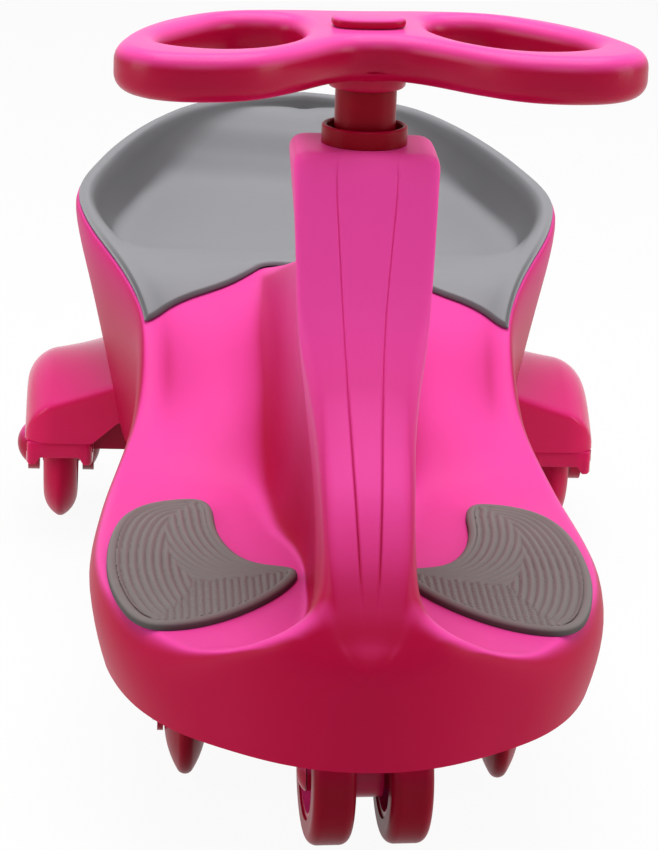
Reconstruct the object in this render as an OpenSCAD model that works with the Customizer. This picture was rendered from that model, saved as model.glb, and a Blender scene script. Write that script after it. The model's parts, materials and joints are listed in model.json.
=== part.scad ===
// Wiggle car: a moulded body with a swan-neck steering post, twin front wheels on an offset carriage,
// two stabiliser wheels and two rear wheels. Front is -Y, the floor is z = 0.

/* [Body] */
// Length from the nose to the back of the seat
body_len = 778; // [700:1:860]
// Width of the foot deck
deck_w = 262; // [230:1:300]
// Width of the waist between the deck and the seat
waist_w = 216; // [190:1:240]
// Width over the rim of the seat
seat_w = 300; // [260:1:330]
// Width of the steering post at its top
post_w = 72; // [66:1:90]
// Height of the body's lower edge
lip_z = 75; // [70:1:85]
// Height of the foot deck
deck_z = 115; // [105:1:130]
// Height of the top of the steering post
post_top_z = 334; // [310:1:370]
// Height of the seat's rim where its front corners start
cusp_z = 175; // [165:1:185]
// Height of the seat's rim at its widest place
rim_side_z = 210; // [200:1:225]
// Height of the seat's rim at the back
rim_back_z = 238; // [230:1:270]
// Width of the seat's rim at the back
rim_back_w = 9; // [6:1:14]
// Height of the lowest place of the seat
pan_z = 182; // [172:1:188]
// Height of the saddle where the seat liner starts
hump_z = 196; // [186:1:206]
// Wall of the body
wall = 6.5; // [6.5:0.5:8]

/* [Seat liner and foot pads] */
// Thickness of the seat liner
liner_t = 3; // [2:0.5:4]
// Thickness of a foot pad
pad_t = 3; // [2:0.5:5]
// Width of a foot pad
pad_w = 102; // [90:1:106]
// Length of a foot pad
pad_l = 196; // [180:1:210]
// Height of the ribs on a foot pad
rib_h = 1.4; // [0.8:0.2:2]

/* [Steering] */
// Distance of the steering axis ahead of the middle of the body
steer_y = 215; // [205:1:225]
// Angle at which the steering stands when the car is drawn
steer_turn = 5; // [-10:1:10]
// Diameter of the column tube
column_d = 30; // [26:1:32]
// Wall of the column tube
column_wall = 3; // [2:0.5:4]
// Diameter of the collar on the post
collar_d = 42; // [40:1:48]
// Height of the collar above the post
collar_h = 9; // [6:1:14]
// Width of the steering wheel
wheel_w = 246; // [230:1:290]
// Thickness of the steering wheel
wheel_t = 23; // [20:1:30]
// Height of the steering wheel's top face
wheel_top_z = 391; // [385:1:420]
// Width of the button on the hub
button_w = 36; // [32:1:40]
// Depth of the button on the hub, front to back
button_d = 23; // [20:1:28]
// Height of the button above the steering wheel
button_h = 5; // [3:1:8]

/* [Front wheels] */
// Diameter of the twin front wheels
front_d = 72; // [64:1:72]
// Width of one front wheel
front_w = 21; // [18:1:23]
// Distance of the front axle ahead of the steering axis
front_offset = 76; // [72:1:80]
// Thickness of the carriage between the front wheels
carriage_w = 16; // [12:1:18]
// Diameter of the front axle
front_axle_d = 8; // [6:1:10]

/* [Stabiliser wheels] */
// Diameter of a stabiliser wheel
stab_d = 62; // [56:1:62]
// Width of a stabiliser wheel
stab_w = 22; // [18:1:24]
// Distance of a stabiliser wheel from the middle of the car
stab_x = 80; // [79:1:88]
// Distance of the stabiliser axles ahead of the middle of the body
stab_y = 214; // [205:1:216]
// Height of a stabiliser wheel above the floor
stab_gap = 4; // [3:0.5:6]
// Diameter of a stabiliser pin
stab_pin_d = 6; // [5:1:8]

/* [Rear wheels] */
// Diameter of a rear wheel
rear_d = 92; // [84:1:96]
// Width of a rear wheel
rear_w = 21; // [18:1:24]
// Distance between the middles of the rear wheels
rear_track = 307; // [300:1:330]
// Distance of the rear axle behind the middle of the body
rear_y = 220; // [210:1:230]
// Diameter of a rear axle
rear_axle_d = 10; // [8:1:12]
// Thickness of a fork cheek beside a rear wheel
cheek_t = 7; // [6:1:9]
// Reach of a fender before and behind the rear axle
fender_reach = 63; // [60:1:70]
// Height of a fender's top beside the body
fender_top_z = 109; // [106:1:116]
// Height of the seam between a fender and the rear beam
seam_z = 64; // [60:1:66]

/* [Hidden] */

$fn = 64;
// Length by which a cut runs past the face that it opens
overrun = 1;
// Gap between pieces that lie on each other
seat_gap = 0.2;
// Gap between the body's skin and a moulding that follows it
skin_gap = 0.95;
// Radial clearance of a wheel or the column on its bearing
run_gap = 0.06;
// Gap beside a wheel that turns
side_gap = 0.5;

pink = [0.93, 0.16, 0.50];
gloss_pink = [0.90, 0.10, 0.42];
crimson = [0.62, 0.03, 0.22];
grey = [0.62, 0.62, 0.64];
pad_grey = [0.55, 0.53, 0.52];
steel = [0.75, 0.76, 0.78];

liner_over = skin_gap + liner_t;
back_over = liner_over - rim_back_w / 2;
half_len = (body_len - back_over) / 2;
body_mid_y = -back_over / 2;
deck_half = deck_w / 2;
waist_half = waist_w / 2;
seat_half = seat_w / 2;
post_half = post_w / 2;
column_r = column_d / 2;
collar_r = collar_d / 2;
wheel_half = wheel_w / 2;
rear_x = rear_track / 2;
rear_r = rear_d / 2;
front_r = front_d / 2;
stab_r = stab_d / 2;
stab_axle_z = stab_r + stab_gap;

// Lines of the body. Each row gives a place along the length, as a share of half the length from -1 at
// the nose to 1 at the back, and the half-width or height there. A place on the post follows the post.
function post_at(widths) = -(steer_y + widths * post_half + body_mid_y) / half_len;
function up(share) = deck_z + share * (post_top_z - deck_z);
function saddle(share) = hump_z + share * (post_top_z - hump_z);
function back(share) = pan_z + share * (rim_back_z - pan_z);
function side(share) = cusp_z + share * (rim_side_z - cusp_z);
function rise(share) = rim_side_z + share * (rim_back_z - rim_side_z);

cusp_share = 0.087;
hump_share = 0.21;

lip_line = [
    [-1, 0], [-0.985, 0.23 * deck_half], [-0.938, 0.46 * deck_half], [-0.869, 0.68 * deck_half],
    [-0.786, 0.82 * deck_half], [-0.696, 0.90 * deck_half], [-0.62, 0.935 * deck_half],
    [-0.5, 0.935 * deck_half], [-0.25, 0.90 * deck_half], [0.06, 0.93 * waist_half],
    [0.443, 0.78 * seat_half], [0.67, 0.73 * seat_half], [0.85, 0.58 * seat_half],
    [0.95, 0.35 * seat_half], [1, 0]];
bulge_line = [
    [-1, 0], [-0.985, 0.235 * deck_half], [-0.938, 0.47 * deck_half], [-0.869, 0.70 * deck_half],
    [-0.786, 0.86 * deck_half], [-0.696, 0.955 * deck_half], [-0.62, 0.99 * deck_half],
    [-0.5, 1.01 * deck_half], [-0.25, 0.97 * deck_half], [0.06, waist_half],
    [0.443, 0.873 * seat_half], [0.67, 0.81 * seat_half], [0.85, 0.65 * seat_half],
    [0.95, 0.39 * seat_half], [1, 0]];
edge_line = [
    [-1, 0], [-0.985, 0.21 * deck_half], [-0.951, 0.40 * deck_half], [-0.91, 0.54 * deck_half],
    [-0.82, 0.73 * deck_half], [-0.696, 0.89 * deck_half], [-0.62, 0.95 * deck_half],
    [-0.5, 0.98 * deck_half], [-0.25, 0.94 * deck_half], [0, 0.99 * waist_half],
    [cusp_share, 0.99 * waist_half], [0.15, 0.752 * seat_half], [0.22, 0.808 * seat_half],
    [0.30, 0.888 * seat_half], [0.37, 0.955 * seat_half], [0.48, seat_half], [0.67, 0.905 * seat_half],
    [0.80, 0.79 * seat_half], [0.89, 0.652 * seat_half], [0.95, 0.473 * seat_half],
    [0.985, 0.27 * seat_half], [1, 0]];
deck_out_line = [
    [-1, 0], [-0.985, 0.18 * deck_half], [-0.951, 0.345 * deck_half], [-0.91, 0.475 * deck_half],
    [-0.82, 0.66 * deck_half], [-0.62, 0.88 * deck_half], [-0.5, 0.90 * deck_half],
    [-0.25, 0.84 * deck_half], [0, 0.88 * waist_half], [cusp_share, 0.92 * waist_half],
    [0.15, 0.697 * seat_half], [0.22, 0.747 * seat_half], [0.30, 0.823 * seat_half],
    [0.37, 0.885 * seat_half], [0.48, 0.93 * seat_half], [0.67, 0.845 * seat_half],
    [0.80, 0.73 * seat_half], [0.89, 0.597 * seat_half], [0.95, 0.427 * seat_half],
    [0.985, 0.23 * seat_half], [1, 0]];
deck_in_line = [
    [-1, 0], [-0.985, 0.52 * post_half], [-0.951, 0.97 * post_half], [-0.91, 1.2 * post_half],
    [-0.869, 1.22 * post_half], [-0.786, 1.10 * post_half], [-0.69, 0.86 * post_half],
    [post_at(0.17), 0.76 * post_half], [post_at(-0.57), 0.90 * post_half], [-0.4, 0.38 * deck_half],
    [-0.3, 0.46 * deck_half], [-0.13, 0.70 * waist_half], [0, 0.78 * waist_half],
    [cusp_share, 0.78 * waist_half], [0.15, 0.605 * seat_half], [0.30, 0.77 * seat_half],
    [0.48, 0.885 * seat_half], [0.67, 0.80 * seat_half], [0.80, 0.69 * seat_half],
    [0.89, 0.56 * seat_half], [0.95, 0.39 * seat_half], [1, 0]];
foot_line = [
    [-1, 0], [-0.985, 0.45 * post_half], [-0.951, 0.75 * post_half], [-0.91, 0.82 * post_half],
    [-0.869, 0.76 * post_half], [-0.786, 0.62 * post_half], [-0.69, 0.54 * post_half],
    [post_at(0.17), 0.53 * post_half], [post_at(-0.57), 0.58 * post_half], [-0.4, 0.23 * deck_half],
    [-0.3, 0.26 * deck_half], [-0.13, 0.39 * waist_half], [0, 0.46 * waist_half],
    [cusp_share, 0.51 * waist_half], [0.15, 0.415 * seat_half], [0.443, 0.82 * seat_half],
    [0.67, 0.745 * seat_half], [0.80, 0.625 * seat_half], [0.89, 0.485 * seat_half],
    [0.95, 0.335 * seat_half], [1, 0]];
wall_line = [
    [-1, 0], [-0.985, 0.38 * post_half], [-0.951, 0.62 * post_half], [-0.91, 0.66 * post_half],
    [-0.869, 0.64 * post_half], [-0.786, 0.60 * post_half], [-0.69, 0.57 * post_half],
    [post_at(0.17), 0.57 * post_half], [post_at(-0.57), 0.60 * post_half], [-0.4, 0.195 * deck_half],
    [-0.3, 0.22 * deck_half], [-0.13, 0.287 * waist_half], [0, 0.333 * waist_half],
    [cusp_share, 0.37 * waist_half], [0.15, 0.30 * seat_half], [0.443, 0.66 * seat_half],
    [0.67, 0.61 * seat_half], [0.80, 0.51 * seat_half], [0.89, 0.39 * seat_half],
    [0.95, 0.26 * seat_half], [1, 0]];
neck_line = [
    [-1, 0], [-0.985, 0.30 * post_half], [-0.951, 0.52 * post_half], [-0.91, 0.60 * post_half],
    [-0.869, 0.62 * post_half], [-0.786, 0.65 * post_half], [-0.72, 0.72 * post_half],
    [post_at(1.11), 0.89 * post_half], [post_at(0.69), 0.97 * post_half],
    [post_at(-0.57), 0.97 * post_half], [post_at(-1.09), 0.86 * post_half], [-0.35, 0.74 * post_half],
    [-0.2, 0.27 * waist_half], [0, 0.29 * waist_half], [0.15, 0.33 * waist_half],
    [0.443, 0.40 * seat_half], [0.67, 0.37 * seat_half], [0.80, 0.31 * seat_half],
    [0.89, 0.245 * seat_half], [0.95, 0.16 * seat_half], [1, 0]];
shoulder_line = [
    [-1, 0], [-0.985, 0.24 * post_half], [-0.951, 0.44 * post_half], [-0.91, 0.55 * post_half],
    [-0.869, 0.60 * post_half], [-0.786, 0.67 * post_half], [-0.72, 0.78 * post_half],
    [post_at(1.11), 0.96 * post_half], [post_at(0.69), 1.01 * post_half],
    [post_at(-0.57), 1.01 * post_half], [post_at(-1.09), 0.89 * post_half], [-0.35, 0.64 * post_half],
    [-0.2, 0.205 * waist_half], [0, 0.215 * waist_half], [0.15, 0.225 * waist_half],
    [0.443, 0.24 * seat_half], [0.67, 0.22 * seat_half], [0.80, 0.18 * seat_half],
    [0.89, 0.14 * seat_half], [0.95, 0.095 * seat_half], [1, 0]];
strip_line = [
    [-1, 0], [-0.985, 0.11 * post_half], [-0.938, 0.19 * post_half], [-0.869, 0.24 * post_half],
    [-0.786, 0.30 * post_half], [-0.69, 0.38 * post_half], [post_at(0.69), 0.48 * post_half],
    [post_at(-0.57), 0.48 * post_half], [-0.4, 0.32 * post_half], [-0.2, 0.08 * waist_half],
    [0.15, 0.10 * waist_half], [0.443, 0.10 * seat_half], [0.80, 0.08 * seat_half], [1, 0]];

// Height of the body's edge: the rim of the deck, then the rim of the seat
sheer_line = [
    [-1, up(-0.01)], [-0.985, up(0.065)], [-0.97, up(0.11)], [-0.951, up(0.07)], [-0.91, up(0.02)],
    [-0.84, deck_z], [-0.26, deck_z], [-0.08, up(0.09)], [cusp_share, cusp_z], [0.22, side(0.45)],
    [0.443, rim_side_z], [0.57, rise(0.20)], [0.70, rise(0.34)], [0.80, rise(0.48)],
    [0.89, rise(0.68)], [0.94, rise(0.85)], [1, rim_back_z]];
// Height of the middle: the nose, the front and top of the post, the saddle and the seat
crown_line = [
    [-1, up(0.025)], [-0.985, up(0.09)], [-0.966, up(0.15)], [-0.93, up(0.245)], [-0.88, up(0.34)],
    [-0.80, up(0.45)], [-0.73, up(0.555)], [post_at(1.37), up(0.67)], [post_at(1.11), up(0.83)],
    [post_at(0.95), up(0.96)], [post_at(0.78), post_top_z], [post_at(-0.62), post_top_z],
    [post_at(-0.85), saddle(0.96)], [post_at(-1.09), saddle(0.86)], [post_at(-1.61), saddle(0.68)],
    [-0.32, saddle(0.52)], [-0.2, saddle(0.385)], [-0.08, saddle(0.26)], [0.03, saddle(0.165)],
    [0.14, saddle(0.065)],
    [hump_share, hump_z], [0.32, back(0.14)], [0.45, back(0)], [0.60, back(0.02)], [0.75, back(0.15)],
    [0.85, back(0.36)], [0.93, back(0.62)], [0.975, back(0.77)], [1, back(0.83)]];

// Heights between the lip and the edge, and between the edge and the crown, as shares
bulge_rise_shares = [[-1, 0.45], [-0.5, 0.55], [0.06, 0.50], [0.443, 0.50], [1, 0.50]];
deck_in_rise_shares = [
    [-1, 0.14], [-0.97, 0], [-0.25, 0], [-0.13, 0.10], [0, 0.17], [0.09, 0.25], [0.15, 0.35],
    [0.443, 0.48], [0.9, 0.46], [1, 0.3]];
foot_rise_shares = [
    [-1, 0.32], [-0.95, 0.18], [-0.9, 0.04], [-0.85, 0], [-0.27, 0], [-0.13, 0.20], [0, 0.38],
    [0.09, 0.45], [0.15, 0.58], [0.443, 0.92], [0.9, 0.76], [1, 0.5]];
wall_rise_shares = [
    [-1, 0.55], [-0.9, 0.42], [-0.3, 0.34], [-0.13, 0.40], [0, 0.55], [0.09, 0.62], [0.15, 0.80],
    [0.443, 1], [0.9, 0.86], [1, 0.68]];
neck_rise_shares = [
    [-1, 0.74], [-0.95, 0.82], [post_at(1.3), 0.80], [post_at(0.9), 0.93], [post_at(-0.7), 0.93],
    [post_at(-1.4), 0.80], [-0.3, 0.78], [-0.13, 0.79], [0, 0.81], [0.09, 0.85], [0.15, 0.92],
    [0.443, 1], [0.9, 0.93], [1, 0.82]];
shoulder_rise_shares = [
    [-1, 0.89], [-0.95, 0.97], [post_at(1.3), 0.97], [post_at(0.9), 1], [post_at(-0.7), 1],
    [post_at(-1.4), 0.98],
    [-0.3, 0.98], [0.06, 0.98], [0.443, 1], [0.9, 0.97], [1, 0.92]];

// How far the back of the body leans, in length for each unit of height, and where the lean starts
back_lean_share = 0.53;
lean_start_share = 0.45;
// Where the rim of the seat starts to turn to its width at the back
rim_turn_share = 0.78;

// Places along the length where the body has a cross-section, and steps at each of its control points
body_steps = 3;
station_shares = [
    -1, -0.996, -0.985, -0.97, -0.951, -0.92, -0.88, -0.84, -0.80, -0.76, -0.725, -0.695, post_at(1.2),
    post_at(1), post_at(0.8), post_at(0.4), post_at(0), post_at(-0.45), post_at(-0.8), post_at(-1.1),
    -0.42, -0.37, -0.31, -0.268, -0.22, -0.16, -0.09, -0.01, 0.06, 0.105, 0.128,
    0.148, 0.17, 0.2, 0.24, 0.29, 0.35, 0.40, 0.44, 0.48, 0.53, 0.61, 0.69, 0.75, 0.80, 0.845, 0.885,
    0.92, 0.95, 0.973, 0.988, 0.996, 1];

// A smooth curve through the rows of a line that never overshoots them. It runs over the arc sine of
// the place, so a half-width that falls to zero at an end closes that end with a round curve.
function row_of(line, s, i = 0) =
    i >= len(line) - 2 || s < asin(line[i + 1][0]) ? i : row_of(line, s, i + 1);
function slope(line, i) =
    (line[i + 1][1] - line[i][1]) / (asin(line[i + 1][0]) - asin(line[i][0]));
function tangent(line, i) =
    i == 0 ? slope(line, 0)
    : i == len(line) - 1 ? slope(line, i - 1)
    : let (a = slope(line, i - 1), b = slope(line, i)) a * b <= 0 ? 0 : 2 * a * b / (a + b);
function at(line, place) =
    let (
        s = asin(place),
        i = row_of(line, s),
        h = asin(line[i + 1][0]) - asin(line[i][0]),
        u = (s - asin(line[i][0])) / h,
        w = 1 - u
    )
    line[i][1] * w * w * (1 + 2 * u) + tangent(line, i) * h * u * w * w
    + line[i + 1][1] * u * u * (3 - 2 * u) - tangent(line, i + 1) * h * u * u * w;

function ramp(u) = u <= 0 ? 0 : u >= 1 ? 1 : u * u * (3 - 2 * u);

// Control points of half a cross-section, from the lower edge over the deck to the middle
function section(place) =
    let (
        edge_z = at(sheer_line, place),
        crown_z = at(crown_line, place),
        lean = back_lean_share * ramp((place - lean_start_share) / (1 - lean_start_share)),
        y = body_mid_y + place * half_len,
        bulge_z = lip_z + at(bulge_rise_shares, place) * (edge_z - lip_z),
        over = crown_z - edge_z,
        in_y = y - rim_back_w * ramp((place - rim_turn_share) / (1 - rim_turn_share))
    )
    [
        [at(lip_line, place), y - lean * (edge_z - lip_z), lip_z],
        [at(bulge_line, place), y - lean * (edge_z - bulge_z), bulge_z],
        [at(edge_line, place), y, edge_z],
        [at(deck_out_line, place), in_y, edge_z],
        [at(deck_in_line, place), in_y, edge_z + at(deck_in_rise_shares, place) * over],
        [at(foot_line, place), in_y, edge_z + at(foot_rise_shares, place) * over],
        [at(wall_line, place), in_y, edge_z + at(wall_rise_shares, place) * over],
        [at(neck_line, place), in_y, edge_z + at(neck_rise_shares, place) * over],
        [at(shoulder_line, place), in_y, edge_z + at(shoulder_rise_shares, place) * over],
        [at(strip_line, place), in_y, crown_z],
        [0, in_y, crown_z]
    ];

// The same section moved in by the wall: the outer points towards the middle of the body, the points of
// the post towards the middle of the post, and all but the lower edge downwards. Round the seat the rim
// stays solid, so the inside keeps below the pan and within the flank there.
mix_start_share = -0.1;
mix_len_share = 0.3;

function inner_section(place) =
    let (
        points = section(place),
        long_share = 1 - wall / half_len,
        hull_share = 1 - wall / deck_half,
        post_share = 1 - wall / post_half,
        seat_mix = ramp((place - mix_start_share) / mix_len_share),
        deep_share = post_share + seat_mix * (hull_share - post_share),
        crown_z = points[len(points) - 1][2],
        flank_share = points[2][0] > points[1][0] ? points[1][0] / points[2][0] : 1
    )
    [for (j = [0:len(points) - 1])
        [points[j][0] * (j < 3 ? hull_share : deep_share) * (j < 2 ? 1 : flank_share),
         points[j][1] * long_share,
         j == 0 ? points[j][2] : min(points[j][2], crown_z) - wall]];

// Points on the smooth curve that the control points pull, with so many steps at each of them
function middle(a, b) = (a + b) / 2;
function bend(a, b, c, t) = a * (1 - t) * (1 - t) + b * 2 * t * (1 - t) + c * t * t;
function smooth_open(points, steps) =
    let (last = len(points) - 1)
    concat(
        [for (j = [1:last - 1], k = [0:steps - 1])
            bend(j == 1 ? points[0] : middle(points[j - 1], points[j]),
                 points[j],
                 j == last - 1 ? points[last] : middle(points[j], points[j + 1]),
                 k / steps)],
        [points[last]]);
function smooth_closed(points, steps) =
    let (n = len(points))
    [for (j = [0:n - 1], k = [0:steps - 1])
        bend(middle(points[(j + n - 1) % n], points[j]), points[j],
             middle(points[j], points[(j + 1) % n]), k / steps)];

// The same with one step at each control point and two at the second, where the flank is hollow
function coarse_open(points) =
    let (
        last = len(points) - 1,
        flank = bend(points[0], points[1], middle(points[1], points[2]), 1 / 2)
    )
    concat([points[0], flank], [for (j = [2:last - 1]) middle(points[j - 1], points[j])], [points[last]]);

function flat(rows) = [for (row = rows, point = row) point];
function mirrored(points) = [for (p = points) [-p[0], p[1], p[2]]];
function quad(a, b, c, d) = [[a, b, c], [a, c, d]];

// A shell made of an upper and a lower grid of points on the right side and their mirror images. The last
// column and the last row lie on the middle plane. So does the first row where front_shut is true.
module mirrored_shell(upper, lower, front_shut) {
    rows = len(upper) - 1;
    upper_last = len(upper[0]) - 1;
    lower_last = len(lower[0]) - 1;
    upper_points = flat(upper);
    lower_points = flat(lower);
    upper_count = len(upper_points);
    lower_count = len(lower_points);
    function shared(i, j, last) = j == last || i == rows || (front_shut && i == 0);
    function top(s, i, j) =
        i * (upper_last + 1) + j + (s == 0 || shared(i, j, upper_last) ? 0 : upper_count);
    function under(s, i, j) =
        2 * upper_count + i * (lower_last + 1) + j
        + (s == 0 || shared(i, j, lower_last) ? 0 : lower_count);
    function turned(s, faces) = s == 0 ? faces : [for (f = faces) [f[2], f[1], f[0]]];
    // In a shut first row the other diagonal keeps each triangle off the middle plane
    function cell(i, a, b, c, d) = front_shut && i == 0 ? quad(b, c, d, a) : quad(a, b, c, d);
    top_faces = [for (s = [1, 0], i = [0:rows - 1], j = [0:upper_last - 1],
        f = turned(s, cell(i, top(s, i, j), top(s, i, j + 1), top(s, i + 1, j + 1),
            top(s, i + 1, j)))) f];
    under_faces = [for (s = [1, 0], i = [0:rows - 1], j = [0:lower_last - 1],
        f = turned(s, cell(i, under(s, i, j), under(s, i + 1, j), under(s, i + 1, j + 1),
            under(s, i, j + 1)))) f];
    lip_faces = [for (s = [1, 0], i = [0:rows - 1],
        f = turned(s, quad(top(s, i, 0), top(s, i + 1, 0), under(s, i + 1, 0), under(s, i, 0)))) f];
    front_faces = front_shut ? [] : [for (s = [0, 1], j = [0:upper_last - 1],
        f = turned(s, quad(top(s, 0, j + 1), top(s, 0, j), under(s, 0, j), under(s, 0, j + 1)))) f];
    polyhedron(
        points = concat(upper_points, mirrored(upper_points), lower_points, mirrored(lower_points)),
        faces = concat(top_faces, under_faces, lip_faces, front_faces),
        convexity = 8);
}

// A solid through a row of closed outlines, shut flat at both ends
module stacked(outlines) {
    n = len(outlines[0]);
    rows = len(outlines) - 1;
    polyhedron(
        points = flat(outlines),
        faces = concat(
            [[for (j = [0:n - 1]) j]],
            [for (i = [0:rows - 1], j = [0:n - 1],
                f = quad(i * n + j, (i + 1) * n + j, (i + 1) * n + (j + 1) % n, i * n + (j + 1) % n)) f],
            [[for (j = [n - 1:-1:0]) rows * n + j]]),
        convexity = 6);
}

module on_side(left) {
    mirror([left ? 1 : 0, 0, 0]) children();
}

// Puts what is drawn round the steering axis, facing straight ahead, in its place
module steered() {
    translate([0, -steer_y, 0]) rotate([0, 0, steer_turn]) children();
}

module along_x(from, to, r) {
    translate([from, 0, 0]) rotate([0, 90, 0]) cylinder(h = to - from, r = r);
}

// Upper steering collar: a sleeve in the post with an open cup on top
collar_sleeve_t = 2.2;
collar_sleeve_h = 34;
collar_cup_wall = 2.5;
sleeve_r = column_r + run_gap + collar_sleeve_t;

outer_skin = [for (s = station_shares) smooth_open(section(s), body_steps)];

module body_shell() {
    inner = [for (s = station_shares) coarse_open(inner_section(s))];
    color(pink) difference() {
        mirrored_shell(outer_skin, inner, true);
        translate([0, -steer_y, post_top_z - collar_sleeve_h])
            cylinder(h = collar_sleeve_h + overrun, r = sleeve_r + seat_gap);
    }
}

// The room that the body takes up, down to the seam of the fenders
module body_room() {
    mirrored_shell(
        outer_skin,
        [for (row = outer_skin) [for (side_share = [1, 0])
            [row[0][0] * side_share, row[0][1], seam_z - overrun]]],
        true);
}

// Seat liner: follows the body's skin from the outside of the rim to the middle, and from the saddle to
// the back
liner_rows = 20;
liner_steps = 3;
liner_first = 6;
liner_probe_share = 0.004;
liner_front_power = 1.6;
liner_tail_power = 1.2;

function skin(place) = smooth_open(section(place), liner_steps);
function unit(v) = v / norm(v);
function liner_place(share, across) =
    let (front = cusp_share + (hump_share - cusp_share) * pow(across, liner_front_power))
    1 - (1 - front) * pow((1 + cos(180 * share)) / 2, liner_tail_power);
function liner_pair(share, j, last) =
    let (
        place = liner_place(share, (j - liner_first) / (last - liner_first)),
        low = max(place - liner_probe_share, -1),
        high = min(place + liner_probe_share, 1),
        here = skin(place),
        k = share == 1 ? min(j, last - 1) : j,
        along = skin(high)[k] - skin(low)[k],
        across = k == last ? here[k] - here[k - 1] : here[k + 1] - here[k - 1],
        raw = cross(along, across),
        normal = unit(k == last || share == 1 ? [0, raw[1], raw[2]] : raw)
    )
    [here[j] + normal * liner_over, here[j] + normal * skin_gap];

module seat_liner() {
    last = len(skin(0)) - 1;
    pairs = [for (i = [0:liner_rows]) [for (j = [liner_first:last]) liner_pair(i / liner_rows, j, last)]];
    color(grey) mirrored_shell(
        [for (row = pairs) [for (pair = row) pair[0]]],
        [for (row = pairs) [for (pair = row) pair[1]]],
        false);
}

// Foot pads: a fan with a tail that points at the post. The outline's control points are shares of the
// pad's width and length, from its inner front corner.
pad_shares = [
    [0.58, 1.00], [0.44, 0.97], [0.45, 0.71], [0.31, 0.455], [0.05, 0.44], [0.05, 0.37], [0.20, 0.20],
    [0.49, 0.02], [0.82, -0.03], [0.95, 0.20], [1.0, 0.465], [0.96, 0.78], [0.83, 0.94]];
pad_centre_shares = [0.68, 0.47];
pad_inset_share = 0.86;
pad_inner_share = 0.16;
pad_front_share = 0.80;
pad_steps = 5;
pad_rib_centre_shares = [0.1, 0.42];
rib_pitch = 12;
rib_w = 5;
rib_count = 11;

function pad_outline(inset) = smooth_closed(
    [for (p = pad_shares) let (q = pad_centre_shares + inset * (p - pad_centre_shares))
        [pad_w * q[0], pad_l * q[1]]], pad_steps);

module foot_pad(left) {
    color(pad_grey) on_side(left)
        translate([pad_inner_share * deck_half, -pad_front_share * half_len, deck_z + seat_gap]) {
            linear_extrude(pad_t) polygon(pad_outline(1));
            translate([0, 0, pad_t]) linear_extrude(rib_h) intersection() {
                polygon(pad_outline(pad_inset_share));
                translate([pad_w * pad_rib_centre_shares[0], pad_l * pad_rib_centre_shares[1]])
                    for (i = [2:rib_count]) difference() {
                        circle(r = i * rib_pitch);
                        circle(r = i * rib_pitch - rib_w);
                    }
            }
        }
}

// Underside plate
plate_t = 3;
bush_t = 3;
bush_h = 20;
bush_flange_t = 2.5;
bush_flange_w = 5.5;
boss_wall = 4;
bush_r = column_r + run_gap + bush_t;
bush_flange_r = bush_r + bush_flange_w;
plate_inset_share = 0.985;
plate_rib_t = 3;
plate_rib_h = 14;
plate_rib_w_share = 0.9;
plate_rib_shares = [-0.75, -0.3, -0.05, 0.2, 0.42, 0.62];

function plate_half() = [for (s = station_shares) inner_section(s)[0]];

module base_plate() {
    half = plate_half();
    last = len(half) - 1;
    outline = concat(
        [for (p = half) [p[0] * plate_inset_share, p[1] * plate_inset_share]],
        [for (i = [last - 1:-1:1]) [-half[i][0] * plate_inset_share, half[i][1] * plate_inset_share]]);
    color(gloss_pink) difference() {
        union() {
            translate([0, 0, lip_z]) linear_extrude(plate_t) polygon(outline);
            translate([0, -steer_y, lip_z]) cylinder(h = bush_h - bush_flange_t, r = bush_r + boss_wall);
            for (share = plate_rib_shares) {
                rib_half = inner_section(share)[0][0] * plate_rib_w_share;
                translate([-rib_half, share * half_len, lip_z])
                    cube([2 * rib_half, plate_rib_t, plate_t + plate_rib_h]);
            }
        }
        translate([0, -steer_y, lip_z - overrun]) cylinder(h = bush_h + 2 * overrun, r = bush_r + run_gap);
        at_beam_screws() plate_hole();
        for (left = [false, true]) at_fork_screws(left) plate_hole();
    }
}

module plate_hole() {
    translate([0, 0, -overrun]) cylinder(h = plate_t + 2 * overrun, r = screw_r + run_gap);
}

module lower_bush() {
    color(steel) translate([0, -steer_y, lip_z - bush_flange_t]) rotate_extrude() {
        translate([column_r + run_gap, 0]) square([bush_t, bush_h]);
        translate([column_r + run_gap, 0]) square([bush_flange_r - column_r - run_gap, bush_flange_t]);
    }
}

module steering_collar() {
    color(gloss_pink) translate([0, -steer_y, post_top_z]) rotate_extrude() {
        translate([column_r + run_gap, -collar_sleeve_h])
            square([collar_sleeve_t, collar_sleeve_h + collar_cup_wall]);
        translate([column_r + run_gap, seat_gap])
            square([collar_r - column_r - run_gap, collar_cup_wall]);
        translate([collar_r - collar_cup_wall, seat_gap])
            square([collar_cup_wall, collar_h - collar_cup_wall / 2]);
        translate([collar_r - collar_cup_wall / 2, collar_h + seat_gap - collar_cup_wall / 2])
            circle(d = collar_cup_wall, $fn = 24);
    }
}

// Steering wheel: a slab with two loops. The outlines' control points are shares of half its width.
wheel_shares = [
    [0, 0.40], [0.30, 0.43], [0.57, 0.36], [0.81, 0.07], [0.97, -0.25], [1.05, -0.49], [0.88, -0.68],
    [0.54, -0.67], [0.33, -0.49], [0.13, -0.24], [0, -0.21]];
loop_shares = [
    [0.25, 0.05], [0.28, 0.27], [0.53, 0.32], [0.74, 0.06], [0.89, -0.16], [0.86, -0.38], [0.61, -0.49],
    [0.39, -0.36], [0.27, -0.12]];
wheel_steps = 3;
wheel_round = 7;
wheel_round_shares = [[0, 1], [0.12, 0.45], [0.3, 0], [0.7, 0], [0.88, 0.45], [1, 1]];
loop_round = 3;
hub_r = 19;
hub_drop = 6;
hub_roof = 7;
bolt_r = 4;
bolt_head_r = 7;
bolt_head_h = 4;
bolt_len = 22;
button_round = 2;

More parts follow.
